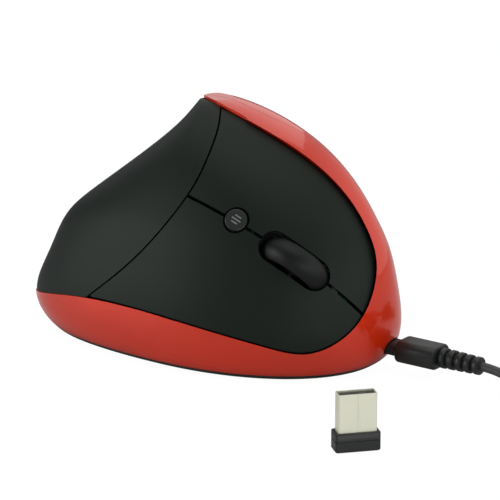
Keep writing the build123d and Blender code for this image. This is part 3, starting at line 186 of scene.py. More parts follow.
def coil_points():
    """Turns of the coil: spiral in on the floor, climb in half a turn, spiral out on top."""
    points = []
    half = STEPS_PER_TURN // 2
    steps = COIL_TURNS * STEPS_PER_TURN
    for step in range(2 * steps + half + 1):
        turned = 2 * pi * step / STEPS_PER_TURN - pi / 2
        inward = min(step, steps) - max(step - steps - half, 0)
        radius = COIL_OUTER - (COIL_OUTER - COIL_INNER) * inward / steps
        climb = min(max(step - steps, 0) / half, 1)
        height = LOW_TURN + (HIGH_TURN - LOW_TURN) * climb
        points.append((COIL_CENTRE[0] + radius * cos(turned), COIL_CENTRE[1] + radius * sin(turned), height))
    return points


def make_cord():
    """The whole cord as one smooth curve with its round section."""
    points = CORD_ROUTE + coil_points() + END_ROUTE
    curve = bpy.data.curves.new("charging_cord", "CURVE")
    curve.dimensions = "3D"
    curve.bevel_depth = CORD_RADIUS
    curve.bevel_resolution = 5
    spline = curve.splines.new("NURBS")
    spline.points.add(len(points) - 1)
    for point, place in zip(spline.points, points):
        point.co = (*(value * MM for value in place), 1)
    spline.order_u = 3
    spline.use_endpoint_u = True
    spline.resolution_u = 6
    cord = bpy.data.objects.new("charging_cord", curve)
    bpy.context.collection.objects.link(cord)
    curve.materials.append(MATERIALS["cord_black"])
    return cord, points


cord, cord_points = make_cord()
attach(cord, "charging_cable")
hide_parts("charge_cord", "cord_end", "cord_coil")

# %% [markdown]
# ## Form of the mouse
# The click buttons are cut again from the form of the CAD model, as finer meshes, so that the
# opening round the wheel and the lines between the covers follow the photograph. The form runs
# through level sections; its numbers are the CAD model's, in millimetres and shares. The section
# shares are not drawn by hand: they are the rounded result of a least-squares fit to the outline
# of the mouse in the photograph, smoothed in some columns.

# %% Section table
LENGTH, WIDTH, HEIGHT = 123.0, 74.0, 79.0
HALF_LENGTH, HALF_WIDTH = LENGTH / 2, WIDTH / 2
COVER_WALL, COVER_FLUSH, COVER_RECESS = 1.6, 0.3, 1.3
SECTION_SHARES = (
    (0.000, 0.875, -0.825, -0.850, 0.855, 0.105, -0.500, -0.020, -0.070),
    (0.038, 0.940, -0.900, -0.955, 0.945, 0.110, -0.500, -0.020, -0.075),
    (0.127, 0.995, -1.000, -1.000, 1.000, 0.110, -0.485, -0.020, -0.075),
    (0.278, 1.000, -0.965, -0.970, 0.920, 0.120, -0.460, -0.010, -0.075),
    (0.430, 0.970, -0.885, -0.895, 0.800, 0.140, -0.405, -0.005, -0.075),
    (0.582, 0.880, -0.740, -0.790, 0.715, 0.170, -0.325, -0.015, -0.095),
    (0.722, 0.735, -0.525, -0.630, 0.675, 0.205, -0.200, -0.020, -0.125),
    (0.835, 0.550, -0.360, -0.440, 0.635, 0.245, -0.080, -0.045, -0.160),
    (0.918, 0.340, -0.265, -0.220, 0.570, 0.270, 0.045, -0.090, -0.190),
    (0.975, 0.115, -0.230, -0.005, 0.475, 0.270, 0.150, -0.110, -0.185),
    (1.004, -0.135, -0.225, 0.190, 0.310, 0.260, 0.250, -0.175, -0.180),
)
ROUNDS = (2.4, 2.1, 2.1, 2.2)
QUARTER_POINTS = 8
TIP_SHIFT = 0.7
FACING_START, FACING_SPAN = 0.5, 0.45
AROUND, UPWARD = 256, 96


def section_loops():
    """Points of the level sections: front left, front right, rear right and rear left quarters."""
    turn = pi / 2 * np.arange(QUARTER_POINTS) / QUARTER_POINTS
    loops = []
    for share, front, rear, right, left, front_y, rear_y, right_x, left_x in SECTION_SHARES:
        front, rear, right_x, left_x = (HALF_LENGTH * value for value in (front, rear, right_x, left_x))
        right, left, front_y, rear_y = (HALF_WIDTH * value for value in (right, left, front_y, rear_y))
        quarters = (
            (left_x, front_y, front - left_x, left - front_y),
            (right_x, front_y, front - right_x, right - front_y),
            (right_x, rear_y, rear - right_x, right - rear_y),
            (left_x, rear_y, rear - left_x, left - rear_y),
        )
        loop = []
        for index, (centre_x, centre_y, reach_x, reach_y) in enumerate(quarters):
            rise, fall = np.sin(turn) ** (2 / ROUNDS[index]), np.cos(turn) ** (2 / ROUNDS[index])
            along, across = (fall, rise) if index % 2 else (rise, fall)
            loop.append(np.stack([centre_x + reach_x * along, centre_y + reach_y * across], 1))
        loop = np.concatenate(loop)
        loops.append(np.column_stack([loop, np.full(len(loop), HEIGHT * share)]))
    return np.array(loops)


LOOPS = section_loops()
print("section points", LOOPS.shape)


# %% Smooth form through the sections
def loop_normals(loops):
    """Outward normals at the points of the sections."""
    around = np.roll(loops, -1, 1) - np.roll(loops, 1, 1)
    upward = np.concatenate([loops[1:], loops[-1:]]) - np.concatenate([loops[:1], loops[:-1]])
    normals = np.cross(upward, around)
    return normals / np.linalg.norm(normals, axis=2, keepdims=True)


def recess_depth(normals):
    """How far the black covers lie under the red surface: deepest where it faces up and forward."""
    facing = (normals[..., 0] + normals[..., 2]) / sqrt(2)
    share = np.clip((facing - FACING_START) / FACING_SPAN, 0, 1)
    return COVER_FLUSH + COVER_RECESS * share * share * (3 - 2 * share)


def inset_loops(extra):
    """The sections moved in by the covers' recess and some more."""
    normals = loop_normals(LOOPS)
    depths = recess_depth(normals) + extra
    levels = np.array([row[0] for row in SECTION_SHARES])
    drop = (levels * (float(recess_depth(np.array([0, 0, 1.0]))) + extra))[:, None]
    steep = np.hypot(normals[..., 0], normals[..., 1])
    shift = (depths - drop * normals[..., 2]) / steep
    shift[-1] = np.clip(shift[-1], -TIP_SHIFT, TIP_SHIFT)
    moved = LOOPS.copy()
    moved[..., :2] -= shift[..., None] * normals[..., :2] / steep[..., None]
    moved[..., 2] -= drop
    return moved


def spline_bends(values, gaps, closed):
    """Second derivatives of the cubic spline through values."""
    count = len(gaps) if closed else len(gaps) + 1
    matrix, right = np.eye(count), np.zeros((count, values.shape[1]))
    for i in range(0 if closed else 1, count if closed else count - 1):
        before, after = gaps[i - 1], gaps[i]
        matrix[i] = 0
        matrix[i, (i - 1) % count] += before
        matrix[i, i] += 2 * (before + after)
        matrix[i, (i + 1) % count] += after
        ahead, behind = values[(i + 1) % count] - values[i], values[i] - values[i - 1]
        right[i] = 6 * (ahead / after - behind / before)
    return np.linalg.solve(matrix, right)


def spline_through(values, places, at, closed=False):
    """Cubic spline through values at places, read at other places."""
    bends = spline_bends(values, np.diff(places), closed)
    if closed:
        values, bends = np.vstack([values, values[:1]]), np.vstack([bends, bends[:1]])
    index = np.clip(np.searchsorted(places, at, side="right") - 1, 0, len(places) - 2)
    gap = (places[index + 1] - places[index])[:, None]
    back, ahead = (places[index + 1] - at)[:, None] / gap, (at - places[index])[:, None] / gap
    bend = (back**3 - back) * bends[index] + (ahead**3 - ahead) * bends[index + 1]
    return back * values[index] + ahead * values[index + 1] + bend * gap**2 / 6


def running_shares(steps):
    """Shares of the way along, from the lengths of the steps."""
    return np.concatenate([[0], np.cumsum(steps) / steps.sum()])


def new_piece(name, verts, faces):
    """Mesh object from points in millimetres."""
    mesh = bpy.data.meshes.new(name)
    mesh.from_pydata((np.asarray(verts, float) * MM).tolist(), [], faces)
    mesh.validate()
    shape = bmesh.new()
    shape.from_mesh(mesh)
    bmesh.ops.recalc_face_normals(shape, faces=shape.faces)
    shape.to_mesh(mesh)
    shape.free()
    piece = bpy.data.objects.new(name, mesh)
    bpy.context.collection.objects.link(piece)
    return piece


def grid_faces(rows, columns):
    """Faces of a grid that closes on itself around."""
    return [
        (row * columns + column, (row + 1) * columns + column,
         (row + 1) * columns + (column + 1) % columns, row * columns + (column + 1) % columns)
        for row in range(rows - 1) for column in range(columns)
    ]


def solid_form(name, loops):
    """Closed fine mesh through the sections."""
    round_steps = np.roll(LOOPS[1:-1], -1, 1) - LOOPS[1:-1]
    round_shares = running_shares(np.linalg.norm(round_steps, axis=2).mean(0))
    level_shares = running_shares(np.linalg.norm(np.diff(LOOPS, axis=0), axis=2).mean(1))
    at_round = np.linspace(0, 1, AROUND, endpoint=False)
    rows = np.array([spline_through(loop, round_shares, at_round, closed=True) for loop in loops])
    at_up = np.linspace(0, 1, UPWARD)
    grid = spline_through(rows.reshape(len(rows), -1), level_shares, at_up).reshape(UPWARD, AROUND, 3)
    verts = np.vstack([grid.reshape(-1, 3), grid[0].mean(0), grid[-1].mean(0)])
    bottom, top, last = len(verts) - 2, len(verts) - 1, (UPWARD - 1) * AROUND
    faces = grid_faces(UPWARD, AROUND)
    faces += [(column, (column + 1) % AROUND, bottom) for column in range(AROUND)]
    faces += [(last + (column + 1) % AROUND, last + column, top) for column in range(AROUND)]
    return new_piece(name, verts, faces)


# %% [markdown]
# ## Click buttons
# The panel plane lies on the buttons: its first way runs along the fingers to the nose, its
# second across them up to the ridge, and its normal points out. The points of the outline and
# of the seam were picked in the photograph and cast onto the fitted form by a script.

# %% Panel plane and cutting tools
PANEL_AZIMUTH, PANEL_ELEVATION, FINGER_FALL = radians(-56.0), radians(34.0), radians(33.4)
PANEL_ORIGIN = Vector((0.37 * HALF_LENGTH, -0.64 * HALF_WIDTH, 0.642 * HEIGHT))
PANEL_NORMAL = Vector((
    cos(PANEL_AZIMUTH) * cos(PANEL_ELEVATION),
    sin(PANEL_AZIMUTH) * cos(PANEL_ELEVATION),
    sin(PANEL_ELEVATION),
))
LEVEL_WAY = Vector((-sin(PANEL_AZIMUTH), cos(PANEL_AZIMUTH), 0))
FINGER_WAY = LEVEL_WAY * cos(FINGER_FALL) - PANEL_NORMAL.cross(LEVEL_WAY) * sin(FINGER_FALL)
ACROSS_WAY = PANEL_NORMAL.cross(FINGER_WAY)
PANEL_TURN = np.array([FINGER_WAY, ACROSS_WAY, PANEL_NORMAL])


def from_panel(points):
    """Places in the mouse's frame, in millimetres, of points in the panel's frame."""
    return np.asarray(points, float) @ PANEL_TURN + np.array(PANEL_ORIGIN)


def prism_points(outline, low, high):
    """Points and faces of a prism on an outline, between two levels."""
    count = len(outline)
    verts = [(*place, low) for place in outline] + [(*place, high) for place in outline]
    faces = [(i, (i + 1) % count, count + (i + 1) % count, count + i) for i in range(count)]
    faces += [tuple(range(count - 1, -1, -1)), tuple(range(count, 2 * count))]
    return verts, faces


def panel_prism(name, outline, low, high):
    """Prism square to the panel plane."""
    verts, faces = prism_points(outline, low, high)
    return new_piece(name, from_panel(verts), faces)


def box_outline(along, across):
    """Corners of a rectangle between two places each way."""
    return [(along[0], across[0]), (along[1], across[0]), (along[1], across[1]), (along[0], across[1])]


def slot_outline(centre, length, width, steps=24):
    """Slot with round ends, or a circle where its length is its width."""
    reach, radius = (length - width) / 2, width / 2
    turns = [pi * (step / steps - 0.5) for step in range(steps + 1)]
    right = [(centre[0] + reach + radius * cos(t), centre[1] + radius * sin(t)) for t in turns]
    left = [(centre[0] - reach - radius * cos(t), centre[1] - radius * sin(t)) for t in turns]
    return right + left if reach > 0 else right[:-1] + left[:-1]


def cut(piece, tool, operation):
    """Apply one Boolean with a tool and delete the tool."""
    modifier = piece.modifiers.new(operation, "BOOLEAN")
    modifier.operation, modifier.solver, modifier.object = operation, "EXACT", tool
    graph = bpy.context.evaluated_depsgraph_get()
    mesh = bpy.data.meshes.new_from_object(piece.evaluated_get(graph))
    piece.modifiers.clear()
    old, piece.data = piece.data, mesh
    bpy.data.meshes.remove(old)
    bpy.data.objects.remove(tool, do_unlink=True)


# %% Click panel
PANEL_REACH = 0.4 * LENGTH
OUTLINE_SHARES = (
    (-0.606, 0.671), (-0.180, 0.648), (0.130, 0.630), (0.447, 0.569), (0.693, 0.461),
    (0.858, 0.331), (0.955, 0.160), (0.996, -0.070), (0.960, -0.252), (0.840, -0.430),
    (0.600, -0.548), (0.140, -0.672), (-0.320, -0.757), (-0.671, -0.821),
)
SEAM_SHARES = (
    (-0.606, 0.671), (-0.518, 0.530), (-0.439, 0.327), (-0.390, 0.104), (-0.392, -0.100),
    (-0.453, -0.400), (-0.533, -0.593), (-0.671, -0.821),
)
PANEL_GAP = 0.6
DIVIDER_GAP = 1.05
BUTTON_SPLIT = -0.6
CUT_LEVELS = (-34.0, 15.0)
WHEEL_PLACE = (22.6, -0.8)
WHEEL_LEVEL = -7.6
SLOT_LENGTH, SLOT_WIDTH = 25.2, 10.2
DPI_HOLE = 8.5


def smooth_line(points, count=60):
    """Places on the spline through points."""
    points = np.array(points)
    shares = running_shares(np.linalg.norm(np.diff(points, axis=0), axis=1))
    return spline_through(points, shares, np.linspace(0, 1, count))


def panel_outline(gap):
    """Closed outline of the click panel, moved in by gap all round."""
    loop = np.array(OUTLINE_SHARES + SEAM_SHARES[-2:0:-1]) * PANEL_REACH
    way_in = loop - np.roll(loop, 1, 0)
    way_in /= np.linalg.norm(way_in, axis=1, keepdims=True)
    middle = way_in + np.roll(way_in, -1, 0)
    middle /= np.linalg.norm(middle, axis=1, keepdims=True)
    shift = gap / (middle * way_in).sum(1)
    moved = loop + shift[:, None] * np.stack([middle[:, 1], -middle[:, 0]], 1)
    corner = len(OUTLINE_SHARES)
    border, seam = moved[:corner], np.vstack([moved[corner - 1:], moved[:1]])
    outline = np.vstack([smooth_line(border)[:-1], smooth_line(seam)[:-1]])
    return [tuple(place) for place in outline[::-1]]


def click_panel():
    """Both click buttons in one mesh, with the openings for the wheel and the small button."""
    panel = solid_form("click_panel", inset_loops(0))
    cut(panel, solid_form("hollow", inset_loops(COVER_WALL)), "DIFFERENCE")
    cut(panel, panel_prism("outline", panel_outline(PANEL_GAP), *CUT_LEVELS), "INTERSECT")
    slot = slot_outline(WHEEL_PLACE, SLOT_LENGTH, SLOT_WIDTH)
    cut(panel, panel_prism("slot", slot, *CUT_LEVELS), "DIFFERENCE")
    hole = slot_outline((0, 0), DPI_HOLE, DPI_HOLE)
    cut(panel, panel_prism("hole", hole, *CUT_LEVELS), "DIFFERENCE")
    across = (BUTTON_SPLIT - DIVIDER_GAP / 2, BUTTON_SPLIT + DIVIDER_GAP / 2)
    cut(panel, panel_prism("line", box_outline((-LENGTH, LENGTH), across), *CUT_LEVELS), "DIFFERENCE")
    return panel


panel = click_panel()
print("click panel", len(panel.data.polygons), "faces")

# %% [markdown]
# Each button is the largest piece of the panel on its side of the line. It keeps the pin that
# it turns on and the rib that carries the pin, and gets the rib that presses its switch.

# %% Click buttons
PIN_ALONG, PIN_LEVEL, PIN_RADIUS, PIN_STEPS = -13.0, -15.0, 1.3, 12
PRESS_ALONG, PRESS_FOOT = 8.0, -8.9
PRESS_LENGTH, PRESS_WIDTH = 5.0, 1.2
BUTTONS = {
    "upper_button": {
        "body": "upper_click", "side": 1, "pin": (6.2, 17.8), "rib": (10.0, 14.0), "press": 11.5,
    },
    "lower_button": {
        "body": "lower_click", "side": -1, "pin": (-13.0, -2.6), "rib": (-9.2, -6.3), "press": -12.6,
    },
}


def largest_piece(mesh, side):
    """Points and faces of the largest connected piece on one side of the line between buttons."""
    places = np.array([vert.co for vert in mesh.vertices]) / MM
    across = (places - np.array(PANEL_ORIGIN)) @ np.array(ACROSS_WAY)
    group = list(range(len(places)))

    def root(index):
        while group[index] != index:
            group[index] = group[group[index]]
            index = group[index]
        return index

    for face in mesh.polygons:
        first = root(face.vertices[0])
        for index in face.vertices[1:]:
            group[root(index)] = first
    roots = np.array([root(index) for index in range(len(places))])
    mine = (across - BUTTON_SPLIT) * side > 0
    names, counts = np.unique(roots[mine], return_counts=True)
    kept = roots == names[counts.argmax()]
    numbers = np.cumsum(kept) - 1
    faces = [[int(numbers[i]) for i in face.vertices] for face in mesh.polygons if kept[face.vertices[0]]]
    return places[kept], faces


def under_cover(along, across):
    """Level in the middle of the cover's wall, at its lowest over a rectangle."""
    levels = []
    for place in box_outline(along, across):
        start = Vector(from_panel([(*place, CUT_LEVELS[1])])[0]) * MM
        hit = panel.ray_cast(start, -PANEL_NORMAL)[1] / MM
        levels.append((hit - PANEL_ORIGIN).dot(PANEL_NORMAL))
    return min(levels) - COVER_WALL / 2


def rib_points(along, across, foot):
    """Rib from a level up into the cover's wall."""
    return bar_points(along, across, (foot, under_cover(along, across)))


def bar_points(along, across, levels):
    """Block in the panel's frame between places along, across and in height."""
    verts, faces = prism_points(box_outline(along, across), *levels)
    return from_panel(verts), faces


def pin_points(across):
    """Pin that lies across the panel."""
    ring = slot_outline((PIN_ALONG, PIN_LEVEL), 2 * PIN_RADIUS, 2 * PIN_RADIUS, PIN_STEPS)
    verts = [(along, end, level) for end in across for along, level in ring]
    return from_panel(verts), prism_points(ring, 0, 1)[1]


def about(centre, half):
    """Two places, half a length each side of a centre."""
    return centre - half, centre + half


def joined(pieces):
    """Several sets of points and faces as one."""
    verts, faces = [], []
    for points, own in pieces:
        faces += [[index + len(verts) for index in face] for face in own]
        verts += [tuple(place) for place in points]
    return verts, faces


def shade(piece, angle=35):
    """Smooth shading that keeps the edges sharper than an angle."""
    piece.data.shade_smooth()
    piece.data.set_sharp_from_angle(angle=radians(angle))


def dress(piece, body, material, slot, *nodes):
    """Give a piece its body, its finish and the CAD nodes that it stands for."""
    piece.data.materials.clear()
    piece.data.materials.append(MATERIALS[material])
    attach(piece, body)
    if nodes:
        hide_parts(*nodes)


for name, sizes in BUTTONS.items():
    half_length, half_width = PRESS_LENGTH / 2, PRESS_WIDTH / 2
    verts, faces = joined([
        largest_piece(panel.data, sizes["side"]),
        rib_points(about(PIN_ALONG, PIN_RADIUS), sizes["rib"], PIN_LEVEL),
        rib_points(about(PRESS_ALONG, half_length), about(sizes["press"], half_width), PRESS_FOOT),
        rib_points(about(PRESS_ALONG, half_width), about(sizes["press"], half_length), PRESS_FOOT),
        pin_points(sorted(sizes["pin"])),
    ])
    button = new_piece(name + "_cover", verts, faces)
    shade(button)
    dress(button, sizes["body"], "black_satin", "black_satin", name)
    print(name, len(faces), "faces")
bpy.data.objects.remove(panel, do_unlink=True)

# %% [markdown]
# ## Wheel, small button, charging plug and receiver
# The tyre has the round crown of the photograph. The small button carries three plain bars where
# the real one has lettering. The plug's relief has chunky ribs. The receiver's sleeve shows its
# joint to the camera and has its two windows on the other side.

# %% Turned pieces
TYRE_BORE, TYRE_RADIUS, TYRE_HALF, CROWN_DROP = 10.0, 12.5, 4.15, 2.3
CROWN_STEPS, CROWN_SETBACK = 25, 0.02
TURN_STEPS = 96


def turned(name, profile, origin, first, second, steps=TURN_STEPS):
    """Closed profile of (radius, place on the axis) turned about an axis through origin."""
    axis = first.cross(second)
    verts = []
    for step in range(steps):
        way = first * cos(2 * pi * step / steps) + second * sin(2 * pi * step / steps)
        verts += [origin + way * radius + axis * place for radius, place in profile]
    count = len(profile)
    faces = [
        (step * count + i, step * count + (i + 1) % count,
         (step + 1) % steps * count + (i + 1) % count, (step + 1) % steps * count + i)
        for step in range(steps) for i in range(count)
    ]
    return new_piece(name, verts, faces)


def crown_profile():
    """Section of the tyre: straight sides and a round crown."""
    curve = (TYRE_HALF**2 + CROWN_DROP**2) / (2 * CROWN_DROP)
    half_turn = np.arcsin(TYRE_HALF / curve)
    turns = np.linspace(-half_turn, half_turn, CROWN_STEPS)
    crown = [(TYRE_RADIUS - curve + curve * cos(turn), curve * sin(turn)) for turn in turns]
    limit = TYRE_HALF - CROWN_SETBACK
    crown = [(radius, min(max(place, -limit), limit)) for radius, place in crown]
    return [(TYRE_BORE, TYRE_HALF), (TYRE_BORE, -TYRE_HALF)] + crown


wheel_centre = Vector(from_panel([(*WHEEL_PLACE, WHEEL_LEVEL)])[0])
tyre = turned("tyre_round", crown_profile(), wheel_centre, FINGER_WAY, -PANEL_NORMAL)
shade(tyre, 50)
dress(tyre, "wheel", "wheel_rubber", "wheel_rubber", "wheel_tyre")
print("tyre", len(tyre.data.polygons), "faces")

# %% Mark on the small button
BAR_LENGTHS = (2.2, 3.2, 2.2)
BAR_PITCH, BAR_WIDTH, BAR_RISE, BUTTON_TOP = 1.15, 0.45, 0.12, 0.1


def make_mark():
    """Three short raised bars."""
    blocks = []
    for index, length in enumerate(BAR_LENGTHS):
        across = about((index - 1) * BAR_PITCH, BAR_WIDTH / 2)
        blocks.append(bar_points(about(0, length / 2), across, about(BUTTON_TOP, BAR_RISE)))
    mark = new_piece("button_bars", *joined(blocks))
    dress(mark, "dpi", "mark_grey", "black_plastic")
    return mark


make_mark()

# %% Charging plug
PLUG_ACROSS, PLUG_RISE = 9.2, 7.2
# Start and end along, width, height and corner radius of the two bars of the plug
NECK = (58.0, 64.4, 8.0, 4.2, 2.05)
GRIP = (64.4, 78.8, 10.6, 7.3, 2.9)
NECK_EDGE, GRIP_EDGE = 0.1, 0.6
RELIEF_END = 94.0
RELIEF_RADII = (3.3, 2.9)
RELIEF_CORE = (2.4, 1.9)
RELIEF_RIBS = 5
RELIEF_OVERLAP = 0.3
# Places in a rib's pitch: where the groove ends, and where the rib starts, is full, falls and ends
GROOVE_END, RIB_START, RIB_FULL, RIB_FALL, RIB_END = 0.32, 0.38, 0.45, 0.88, 0.96
RIB_SOFTENING = 0.15
SECTION_STEPS = 8


def round_rect(width, height, radius):
    """Outline of a rectangle with round corners, around its middle."""
    outline = []
    for quarter, (side, up) in enumerate(((1, 1), (-1, 1), (-1, -1), (1, -1))):
        for step in range(SECTION_STEPS):
            turn = pi / 2 * (quarter + step / (SECTION_STEPS - 1))
            across = side * (width / 2 - radius) + radius * cos(turn)
            level = up * (height / 2 - radius) + radius * sin(turn)
            outline.append((across, level))
    return outline


def bar_rings(start, end, width, height, radius, edge):
    """Sections of a bar along +X with softened ends."""
    rings = []
    for along, inset in ((start, edge), (start + 0.3 * edge, 0.3 * edge), (start + edge, 0),
                         (end - edge, 0), (end - 0.3 * edge, 0.3 * edge), (end, edge)):
        rings.append([(along, across, up) for across, up in
                      round_rect(width - 2 * inset, height - 2 * inset, max(radius - inset, 0.2))])
    return rings


def relief_rings():
    """Sections of the ribbed relief that thins towards the cord."""
    start, rings = GRIP[1] - RELIEF_OVERLAP, []
    pitch = (RELIEF_END - start) / RELIEF_RIBS
    for rib in range(RELIEF_RIBS):
        share = rib / (RELIEF_RIBS - 1)
        high = RELIEF_RADII[0] + (RELIEF_RADII[1] - RELIEF_RADII[0]) * share
        low = RELIEF_CORE[0] + (RELIEF_CORE[1] - RELIEF_CORE[0]) * share
        soft = high - RIB_SOFTENING
        profile = (
            (0, low), (GROOVE_END, low), (RIB_START, soft), (RIB_FULL, high),
            (RIB_FALL, high), (RIB_END, soft), (1, low),
        )
        for offset, radius in profile:
            side = round_rect(2 * radius, 2 * radius, radius - 0.01)
            rings.append([(start + pitch * (rib + offset), across, up) for across, up in side])
    return rings


def lofted(rings):
    """Points and faces of a closed bar through rings of points."""
    count = len(rings[0])
    verts = [place for ring in rings for place in ring]
    faces = [tuple(reversed(face)) for face in grid_faces(len(rings), count)]
    faces += [tuple(range(count)), tuple(range(len(verts) - 1, len(verts) - count - 1, -1))]
    return verts, faces


def make_plug():
    """Neck, grip and ribbed relief of the charging plug."""
    parts = (bar_rings(*NECK, NECK_EDGE), bar_rings(*GRIP, GRIP_EDGE), relief_rings())
    verts, faces = joined([lofted(rings) for rings in parts])
    verts = [(along, across + PLUG_ACROSS, up + PLUG_RISE) for along, across, up in verts]
    plug = new_piece("plug_mould", verts, faces)
    shade(plug, 40)
    dress(plug, "charging_cable", "black_plastic", "black_plastic", "charge_plug")
    return plug


plug = make_plug()
print("plug", len(plug.data.polygons), "faces")

# %% Receiver
RECEIVER_PLACE, RECEIVER_TURN = (93.1, -59.3), 49.0
SLEEVE_WIDTH, SLEEVE_HEIGHT, SLEEVE_WALL, SLEEVE_ROUND = 12.0, 4.5, 0.3, 0.55
SLEEVE_LEVELS = (3.0, 18.0)
SLEEVE_WINDOW, WINDOW_OFFSET, WINDOW_LEVEL = 2.3, 2.6, 12.7
JOINT_WIDTH, JOINT_LEVELS, JOINT_TEETH = 0.1, (6.2, 17.9), ((9.0, 0.7), (14.0, 0.7))
JOINT_DEPTH, TOOTH_REACH, CUT_PAST, WINDOW_START = 0.1, (-0.05, 0.9), 1, 0.5


def receiver_block(name, verts, faces):
    """Piece placed in the standing receiver's own frame."""
    turn = Matrix.Rotation(radians(RECEIVER_TURN), 3, "Z")
    places = [turn @ Vector(place) + Vector((*RECEIVER_PLACE, 0)) for place in verts]
    return new_piece(name, places, faces)


def make_sleeve():
    """Thin steel sleeve: windows on the far side, folded joint on the near side."""
    outer = prism_points(round_rect(SLEEVE_WIDTH, SLEEVE_HEIGHT, SLEEVE_ROUND), *SLEEVE_LEVELS)
    inside = (SLEEVE_WIDTH - 2 * SLEEVE_WALL, SLEEVE_HEIGHT - 2 * SLEEVE_WALL)
    hollow = round_rect(*inside, SLEEVE_ROUND - SLEEVE_WALL)
    past_ends = (SLEEVE_LEVELS[0] - CUT_PAST, SLEEVE_LEVELS[1] + CUT_PAST)
    sleeve = receiver_block("sleeve", *outer)
    cut(sleeve, receiver_block("hollow", *prism_points(hollow, *past_ends)), "DIFFERENCE")
    for side in (-1, 1):
        sides = about(side * WINDOW_OFFSET, SLEEVE_WINDOW / 2)
        window = box_outline(sides, (WINDOW_START, SLEEVE_HEIGHT))
        levels = about(WINDOW_LEVEL, SLEEVE_WINDOW / 2)
        cut(sleeve, receiver_block("window", *prism_points(window, *levels)), "DIFFERENCE")
    near = (-SLEEVE_HEIGHT, -SLEEVE_HEIGHT / 2 + JOINT_DEPTH)
    groove = box_outline(about(0, JOINT_WIDTH / 2), near)
    cut(sleeve, receiver_block("joint", *prism_points(groove, *JOINT_LEVELS)), "DIFFERENCE")
    for level, half in JOINT_TEETH:
        for up in (-half, half):
            tooth = prism_points(box_outline(TOOTH_REACH, near), *about(level + up, JOINT_WIDTH / 2))
            cut(sleeve, receiver_block("tooth", *tooth), "DIFFERENCE")
    shade(sleeve, 40)
    dress(sleeve, "receiver", "steel", "steel", "receiver_shell")
    return sleeve


CAP_WIDTH, CAP_DEPTH, CAP_HEIGHT, CAP_ROUND = 14.0, 6.2, 6.0, 0.7
# Level and inset of each section of the cap: soft foot, fine groove and soft top
CAP_RINGS = (
    (0.0, 0.35), (0.35, 0.0), (3.3, 0.0), (3.35, 0.18), (3.55, 0.18), (3.6, 0.0), (5.75, 0.0), (6.0, 0.2),
)
SLEEVE_FIT = 0.05


def make_cap():
    """Cap with softened edges, a fine groove around it and the pocket of the sleeve."""
    rings = []
    for level, inset in CAP_RINGS:
        outline = round_rect(CAP_WIDTH - 2 * inset, CAP_DEPTH - 2 * inset, CAP_ROUND)
        rings.append([(along, across, level) for along, across in outline])
    cap = receiver_block("cap_grooved", *lofted(rings))
    pocket = round_rect(SLEEVE_WIDTH + 2 * SLEEVE_FIT, SLEEVE_HEIGHT + 2 * SLEEVE_FIT, SLEEVE_ROUND)
    hole = prism_points(pocket, SLEEVE_LEVELS[0], CAP_HEIGHT + CUT_PAST)
    cut(cap, receiver_block("pocket", *hole), "DIFFERENCE")
    shade(cap, 40)
    dress(cap, "receiver", "black_plastic", "black_plastic", "receiver_cap")
    return cap


sleeve = make_sleeve()
make_cap()
print("sleeve", len(sleeve.data.polygons), "faces")

# %% [markdown]
# ## Studio
# A plain pale floor under soft light. The floor and the world are white to the camera and keep
# the object's shadow.


# %% Floor, world and lamps
FLOOR_SIZE, FLOOR_DROP, FLOOR_ROUGH, FLOOR_CLOUDS = 12, 0.0002, 0.7, 3
FLOOR_DARK, FLOOR_LIGHT = (0.58, 0.58, 0.58, 1), (0.63, 0.63, 0.63, 1)
WHITE = (1, 1, 1, 1)
WHITE_STRENGTH, FLOOR_WHITE_SHARE = 1.08, 0.9
BRIGHT_WAY = Vector((0.72, 0.62, 0.20))
WORLD_DIM, WORLD_BRIGHT = 0.12, 1.15
BRIGHT_FROM, BRIGHT_FULL = 0.1, 1.0
# Place and aim in metres, size across and up in metres, and power in watts
LAMPS = {
    "overhead": ((0.0, -0.1, 1.35), (0, 0, 0.03), (1.2, 0.9), 7),
    "back_box": ((-0.8, 0.7, 0.9), (0, 0, 0.03), (1.6, 1.2), 6),
    "left_box": ((-0.85, -0.85, 0.3), (0, 0, 0.03), (0.8, 0.5), 8),
    "right_box": ((1.35, 0.0, 0.3), (0.02, 0, 0.03), (1.1, 0.6), 4),
    "low_fill": ((1.0, -0.85, 0.12), (0.02, 0, 0.02), (0.7, 0.2), 4),
}


def white_to_camera(nodes, links, surface, output, share):
    """Mix a surface with plain white where a camera ray or a transmitted ray meets it."""
    path = nodes.new("ShaderNodeLightPath")
    seen = nodes.new("ShaderNodeMath")
    seen.operation = "MAXIMUM"
    links.new(path.outputs["Is Camera Ray"], seen.inputs[0])
    links.new(path.outputs["Is Transmission Ray"], seen.inputs[1])
    amount = nodes.new("ShaderNodeMath")
    amount.operation = "MULTIPLY"
    amount.inputs[1].default_value = share
    links.new(seen.outputs[0], amount.inputs[0])
    white = nodes.new("ShaderNodeEmission")
    white.inputs["Color"].default_value = WHITE
    white.inputs["Strength"].default_value = WHITE_STRENGTH
    blend = nodes.new("ShaderNodeMixShader")
    links.new(amount.outputs[0], blend.inputs[0])
    links.new(surface, blend.inputs[1])
    links.new(white.outputs[0], blend.inputs[2])
    links.new(blend.outputs[0], output)


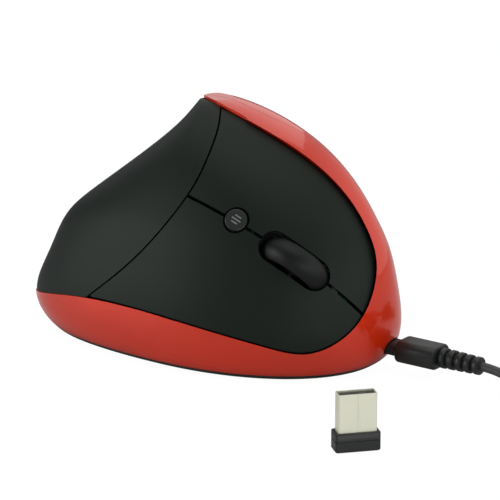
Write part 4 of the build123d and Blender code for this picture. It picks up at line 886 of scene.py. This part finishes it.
def make_floor():
    """Large pale floor."""
    bpy.ops.mesh.primitive_plane_add(size=FLOOR_SIZE, location=(0, 0, -FLOOR_DROP))
    floor = bpy.context.object
    floor.name = "floor"
    material = bpy.data.materials.new("floor_white")
    material.use_nodes = True
    nodes, links = material.node_tree.nodes, material.node_tree.links
    surface = nodes["Principled BSDF"]
    surface.inputs["Roughness"].default_value = FLOOR_ROUGH
    noise = nodes.new("ShaderNodeTexNoise")
    noise.inputs["Scale"].default_value = FLOOR_CLOUDS
    tint = nodes.new("ShaderNodeMix")
    tint.data_type = "RGBA"
    tint.inputs["A"].default_value = FLOOR_DARK
    tint.inputs["B"].default_value = FLOOR_LIGHT
    links.new(noise.outputs["Fac"], tint.inputs["Factor"])
    links.new(tint.outputs["Result"], surface.inputs["Base Color"])
    output = nodes["Material Output"].inputs["Surface"]
    white_to_camera(nodes, links, surface.outputs[0], output, FLOOR_WHITE_SHARE)
    floor.data.materials.append(material)


def make_world():
    """Surroundings that look white to the camera and light the object mostly from behind."""
    world = bpy.data.worlds.new("studio")
    world.use_nodes = True
    bpy.context.scene.world = world
    nodes, links = world.node_tree.nodes, world.node_tree.links
    around = nodes["Background"]
    around.inputs["Color"].default_value = WHITE
    place = nodes.new("ShaderNodeTexCoord").outputs["Generated"]
    facing = nodes.new("ShaderNodeVectorMath")
    facing.operation = "DOT_PRODUCT"
    facing.inputs[1].default_value = BRIGHT_WAY.normalized()
    links.new(place, facing.inputs[0])
    level = nodes.new("ShaderNodeMapRange")
    level.interpolation_type = "SMOOTHSTEP"
    level.inputs["From Min"].default_value = BRIGHT_FROM
    level.inputs["From Max"].default_value = BRIGHT_FULL
    level.inputs["To Min"].default_value = WORLD_DIM
    level.inputs["To Max"].default_value = WORLD_BRIGHT
    links.new(facing.outputs["Value"], level.inputs["Value"])
    links.new(level.outputs["Result"], around.inputs["Strength"])
    bright = nodes.new("ShaderNodeBackground")
    bright.inputs["Color"].default_value = WHITE
    path = nodes.new("ShaderNodeLightPath")
    blend = nodes.new("ShaderNodeMixShader")
    links.new(path.outputs["Is Camera Ray"], blend.inputs[0])
    links.new(around.outputs[0], blend.inputs[1])
    links.new(bright.outputs[0], blend.inputs[2])
    links.new(blend.outputs[0], nodes["World Output"].inputs["Surface"])


def add_lamp(name, place, aim, size, power):
    """Rectangular soft lamp that points at a place on the object."""
    data = bpy.data.lights.new(name, "AREA")
    data.shape = "RECTANGLE"
    data.size, data.size_y = size
    data.energy = power
    lamp = bpy.data.objects.new(name, data)
    lamp.location = place
    lamp.rotation_euler = (Vector(aim) - Vector(place)).to_track_quat("-Z", "Y").to_euler()
    bpy.context.collection.objects.link(lamp)


make_floor()
make_world()
for name, (place, aim, size, power) in LAMPS.items():
    add_lamp(name, place, aim, size, power)
bpy.context.scene.view_settings.view_transform = "Standard"
print("studio ready")
